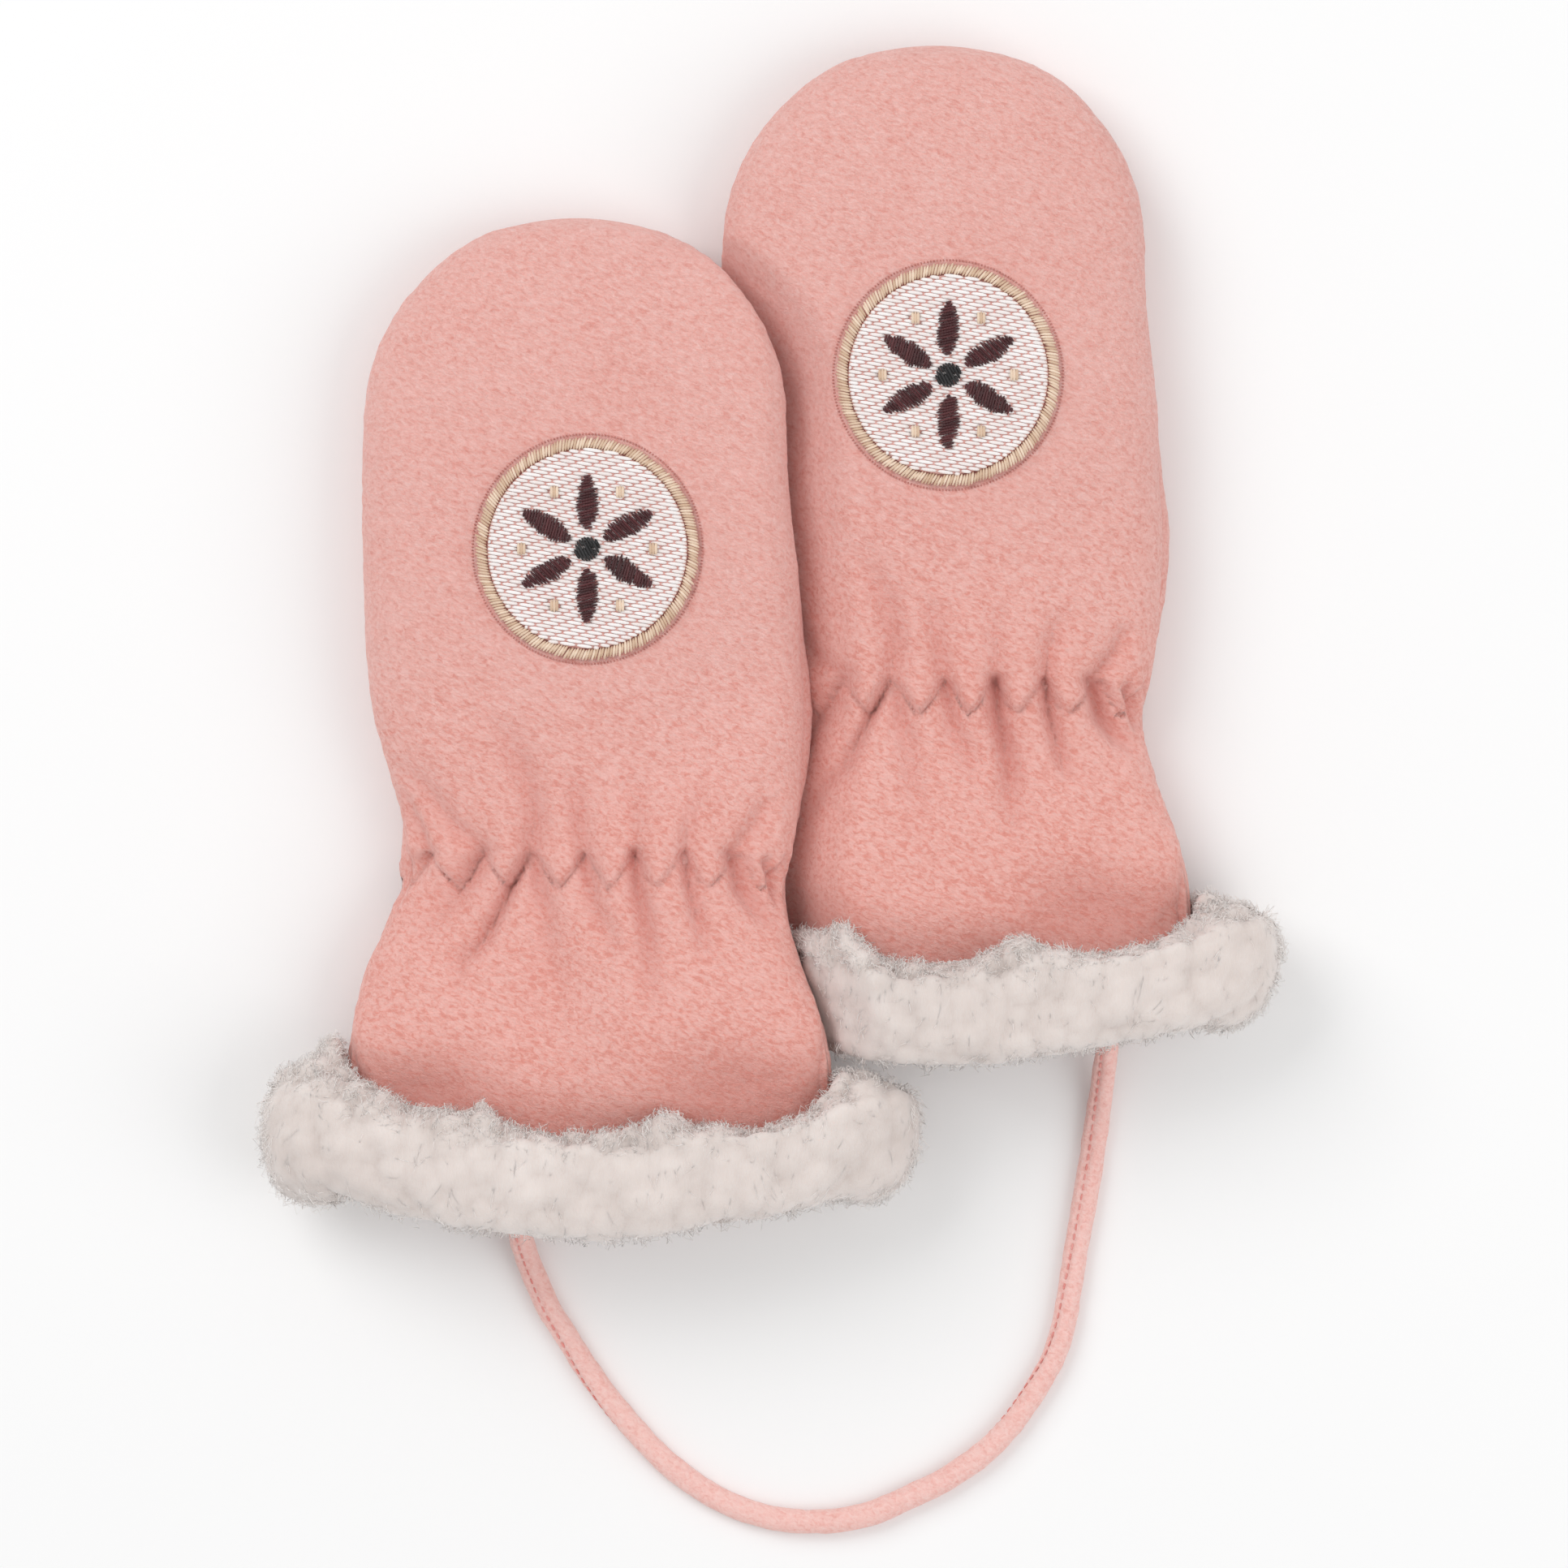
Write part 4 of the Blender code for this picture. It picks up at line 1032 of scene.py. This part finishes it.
def makeBadge(side, place, seed):
    b, random = badge, np.random.default_rng(seed + 7)
    top = b["gap"] + b["ground"]
    discPoints, discFaces = backingDisc(place)
    fill = fillRows(b["fillRadius"] + b["fillOver"], b["fillTurn"], b["rowPitch"], b["stitchLength"])
    points, faces, uvs = sewStitches(*fill, place, top - b["fillSunk"], b["fillArch"], b["threadRadius"])
    under = len(discPoints)
    ground = addMesh(
        f"{side}_badge_filling", np.concatenate([discPoints, points]),
        discFaces + [tuple(under + v for v in face) for face in faces], creamThread,
        np.concatenate([np.zeros(under), stitchTones(points, seed)]),
        np.concatenate([np.zeros((under, 2)), uvs]),
    )
    ground.data.materials.append(fleece)  # the fleece shows between the stitches
    underneath = np.repeat((1, 0), (len(discFaces), len(faces))).astype(np.int32)
    ground.data.polygons.foreach_set("material_index", underneath)

    count = round(2 * math.pi * b["radius"] / b["rimPitch"])
    turns = 2 * np.pi * np.arange(count) / count
    ray = np.stack((np.cos(turns), np.sin(turns)), axis=-1)
    ahead = np.stack((np.cos(turns + b["rimSlant"]), np.sin(turns + b["rimSlant"])), axis=-1)
    inner, outer = b["ragged"] * random.normal(0, b["raggedRim"], (2, count, 1))
    rimPiece = sewPiece(f"{side}_badge_satin_rim", sewStitches(
        ray * (b["radius"] - b["rimWidth"] + inner), ahead * (b["radius"] - b["rimInset"] + outer), place,
        b["gap"], b["rimArch"], b["rimThread"],
    ), tanThread, seed + 1)
    # painted shade of the needle holes: small dark marks on the fleece just outside the rim
    out = b["radius"] + b["markOut"]
    markPiece = sewPiece(f"{side}_badge_needle_hole_shade", sewStitches(
        ahead * out, ahead * (out + b["markLength"]), place, 0.0, 0.0, b["markRadius"],
    ), needleHoleShade, seed + 5)

    petals, dots = petalStitches(random), dotStitches()
    centre = fillRows(b["centreRadius"], b["centreTurn"], b["centrePitch"], b["centreStitch"])
    motif = [
        sewPiece(f"{side}_badge_{name}", sewStitches(*rows, place, top + lift, arch, radius), thread, motifSeed)
        for name, rows, lift, arch, radius, thread, motifSeed in (
            ("petals", petals, b["petalLift"], b["petalArch"], b["rimThread"], brownThread, seed + 2),
            ("centre", centre, b["centreLift"], b["centreArch"], b["thickThread"], blackThread, seed + 3),
            ("dots", dots, b["knotLift"], b["knotArch"], b["thickThread"], tanThread, seed + 4),
        )
    ]
    stitches = sum(len(rows[0]) for rows in (fill, petals, centre, dots)) + count
    print(side, "badge is sewn with", stitches, "stitches")
    return ground, rimPiece, markPiece, motif


# the cord: a strip of fleece folded round itself and sewn, limp, lying in one loose loop

cordShape = {
    "radius": 1.8, "flatten": 0.82, "step": 0.6, "sides": 28,
    # where the seam lies round the cord, in degrees, at shares of its length
    "seamAt": (0.0, 0.15, 0.35, 0.6, 0.72, 1.0), "seamTurn": (66, 60, -60, -170, -232, -240),
    "seamWidth": 0.4, "seamDepth": 0.34, "stitchDepth": 0.5,
    "stitchPitch": 1.5, "stitchLength": 0.95, "stitchRadius": 0.15, "unsewn": 1.0,
    "swells": ((1.4, 0.09, 41), (6.0, 0.10, 42)),  # size, height, seed
    # its route, from inside the left mouth to inside the right one
    "across": (-38.0, -37.7, -37.4, -37.0, -36.0, -34.8, -33.3, -30.2, -26.4, -21.6, -16.0, -9.0, -1.4,
               6.6, 14.3, 21.0, 27.0, 31.9, 35.4, 39.0, 42.2, 43.8, 44.8, 46.0, 47.2, 48.3, 49.2, 49.8,
               50.2, 50.4, 50.4),
    "up": (-73.0, -78.0, -83.0, -88.0, -91.5, -94.5, -98.0, -103.2, -109.2, -115.3, -121.3, -126.6,
           -129.8, -130.8, -129.8, -127.0, -124.0, -120.5, -117.0, -112.0, -106.4, -101.0, -95.0, -88.0,
           -81.0, -74.0, -67.5, -62.5, -58.0, -53.0, -48.0),
    "height": (9.2, 9.3, 8.2, 4.6, 2.5, *(1.85,) * 21, 2.6, 5.2, 8.3, 9.3, 9.2),
}


def makeCord():
    c = cordShape
    route = np.stack((c["across"], c["up"], c["height"]), axis=-1)
    places = np.concatenate([[0], np.cumsum(np.linalg.norm(np.diff(route, axis=0), axis=1))])
    count = round(places[-1] / c["step"])
    at = np.linspace(0, places[-1], count + 1)
    line = np.stack([curveThrough(places, route[:, axis], at) for axis in range(3)], axis=-1)
    length = np.linalg.norm(np.diff(line, axis=0), axis=1).sum()
    ahead = unit(np.gradient(line, axis=0))
    side = unit(np.cross(ahead, np.array((0.0, 0.0, 1.0))))
    up = np.cross(side, ahead)
    turns = np.linspace(0, 2 * np.pi, c["sides"], endpoint=False)
    seam = np.radians(curveThrough(c["seamAt"], c["seamTurn"], at / places[-1]))
    fromSeam = np.abs((turns[None, :] - seam[:, None] + np.pi) % (2 * np.pi) - np.pi) * c["radius"]
    radius = c["radius"] - c["seamDepth"] * np.exp(-((fromSeam / c["seamWidth"]) ** 2))
    drop = c["radius"] * (1 - c["flatten"])  # its flat underside touches the surface
    grid = (
        line[:, None, :] + (radius * np.cos(turns))[..., None] * side[:, None, :]
        + (radius * np.sin(turns) * c["flatten"] - drop)[..., None] * up[:, None, :]
    )
    swell = sum(height * lumps(grid, size, seed) for size, height, seed in c["swells"])
    outwards = unit(grid - grid.mean(axis=1, keepdims=True))
    grid = grid + swell[..., None] * outwards
    grid[..., 2] = np.maximum(0.0, grid[..., 2])
    rows, sides = grid.shape[:2]
    faces = [
        (r * sides + s, r * sides + (s + 1) % sides, (r + 1) * sides + (s + 1) % sides, (r + 1) * sides + s)
        for r in range(rows - 1) for s in range(sides)
    ]
    faces += [tuple(range(sides - 1, -1, -1)), tuple(range((rows - 1) * sides, rows * sides))]
    cord = addMesh("cord_strip", grid.reshape(-1, 3), faces, cordFleece)

    template, stitchFaces = stitchShape  # running stitches along the seam
    stitchAt = np.arange(c["unsewn"], places[-1] - c["unsewn"], c["stitchPitch"])[:, None]
    stitchAt = stitchAt + c["stitchLength"] * template[None, :, 2]
    turn, reach = np.interp(stitchAt, at, seam), c["radius"] - c["stitchDepth"] * c["seamDepth"]
    spine, beside, above = (
        np.stack([np.interp(stitchAt, at, track[:, axis]) for axis in range(3)], axis=-1)
        for track in (line, side, up)
    )
    around, height = -np.sin(turn), np.cos(turn)
    thick, wide = c["stitchRadius"] * template[:, 1], c["stitchRadius"] * template[:, 0]
    points = (
        spine + ((reach + thick) * np.cos(turn) + wide * around)[..., None] * beside
        + (((reach + thick) * np.sin(turn) + wide * height) * c["flatten"] - drop)[..., None] * above
    )
    points[..., 2] = np.maximum(0.0, points[..., 2])
    uvs = np.stack((c["stitchLength"] * template[:, 2], roundStrand(template)), axis=-1)
    count = len(points)
    stitches = points.reshape(-1, 3), copyFaces(stitchFaces, count, len(template)), np.tile(uvs, (count, 1))
    return cord, sewPiece("cord_seam_stitches", stitches, pinkThread, 43), line, length


# both mittens

for side, place, seed in (("left", placeLeft, 1), ("right", placeRight, 2)):
    back = makePanel(f"{side}_back", place, True)
    palm = makePanel(f"{side}_palm", place, False)
    cuff = makeFurCuff(f"{side}_cuff", place, 100 * seed)
    filling, rim, marks, motif = makeBadge(side, place, 50 * seed)
    for piece in (back, palm, cuff, filling, rim, marks, *motif):
        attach(piece, "root")
    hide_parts(f"{side}_back_panel")
    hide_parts(f"{side}_palm_panel")
    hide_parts(f"{side}_fur_cuff")
    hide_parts(f"{side}_badge_ground")
    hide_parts(f"{side}_badge_rim")
    print(side, "mitten is made")

cord, cordStitches, cordLine, cordLength = makeCord()
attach(cord, "root")
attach(cordStitches, "root")
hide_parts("cord")
print("the cord is", round(cordLength), "mm long")


# the floor, the light and the camera

studio = {
    "floor": "#FAFAFA", "floorSize": 6.0, "floorDrop": 0.00005, "sky": 0.62,  # in metres
    "centre": (2.15, -21.1), "frameWidth": 231.84, "distance": 1500.0, "middleHeight": 10.0, "sensor": 36.0,
    "aim": (0.0, -0.02, 0.0),
    "lights": (  # place, size and power
        ("keyLight", (-0.75, 0.65, 1.0), 0.9, 7.6),
        ("fillLight", (0.9, -0.3, 0.9), 1.0, 4.8),
    ),
}

bpy.ops.object.select_all(action="DESELECT")
bpy.ops.mesh.primitive_plane_add(size=studio["floorSize"], location=(0, 0, -studio["floorDrop"]))
floor = bpy.context.object
floor.name = "studio_floor"
floor.data.transform(floor.matrix_world)
floor.matrix_world.identity()
floorMaterial, _ = newMaterial("paleBackdrop", Roughness=0.9, Base_Color=colour(studio["floor"]))
floor.data.materials.append(floorMaterial)

world = bpy.data.worlds.new("softStudio")
bpy.context.scene.world = world
world.use_nodes = True
world.node_tree.nodes["Background"].inputs["Color"].default_value = (1.0, 1.0, 1.0, 1.0)
world.node_tree.nodes["Background"].inputs["Strength"].default_value = studio["sky"]

for name, spot, size, power in studio["lights"]:
    bpy.ops.object.light_add(type="AREA", location=spot)
    light = bpy.context.object
    light.name = name
    light.data.size = size
    light.data.energy = power
    x, y, z = np.array(studio["aim"]) - np.array(spot)
    light.rotation_euler = (math.atan2(math.hypot(x, y), -z), 0.0, math.atan2(-x, y))

camera = bpy.data.objects.new("camera", bpy.data.cameras.new("camera"))
bpy.context.scene.collection.objects.link(camera)
camera.data.sensor_width = studio["sensor"]
camera.data.lens = studio["sensor"] * studio["distance"] / studio["frameWidth"]
camera.data.clip_end = 20.0
camera.location = (
    studio["centre"][0] * mm, studio["centre"][1] * mm, (studio["distance"] + studio["middleHeight"]) * mm,
)
bpy.context.scene.camera = camera
bpy.context.scene.view_settings.view_transform = "Standard"
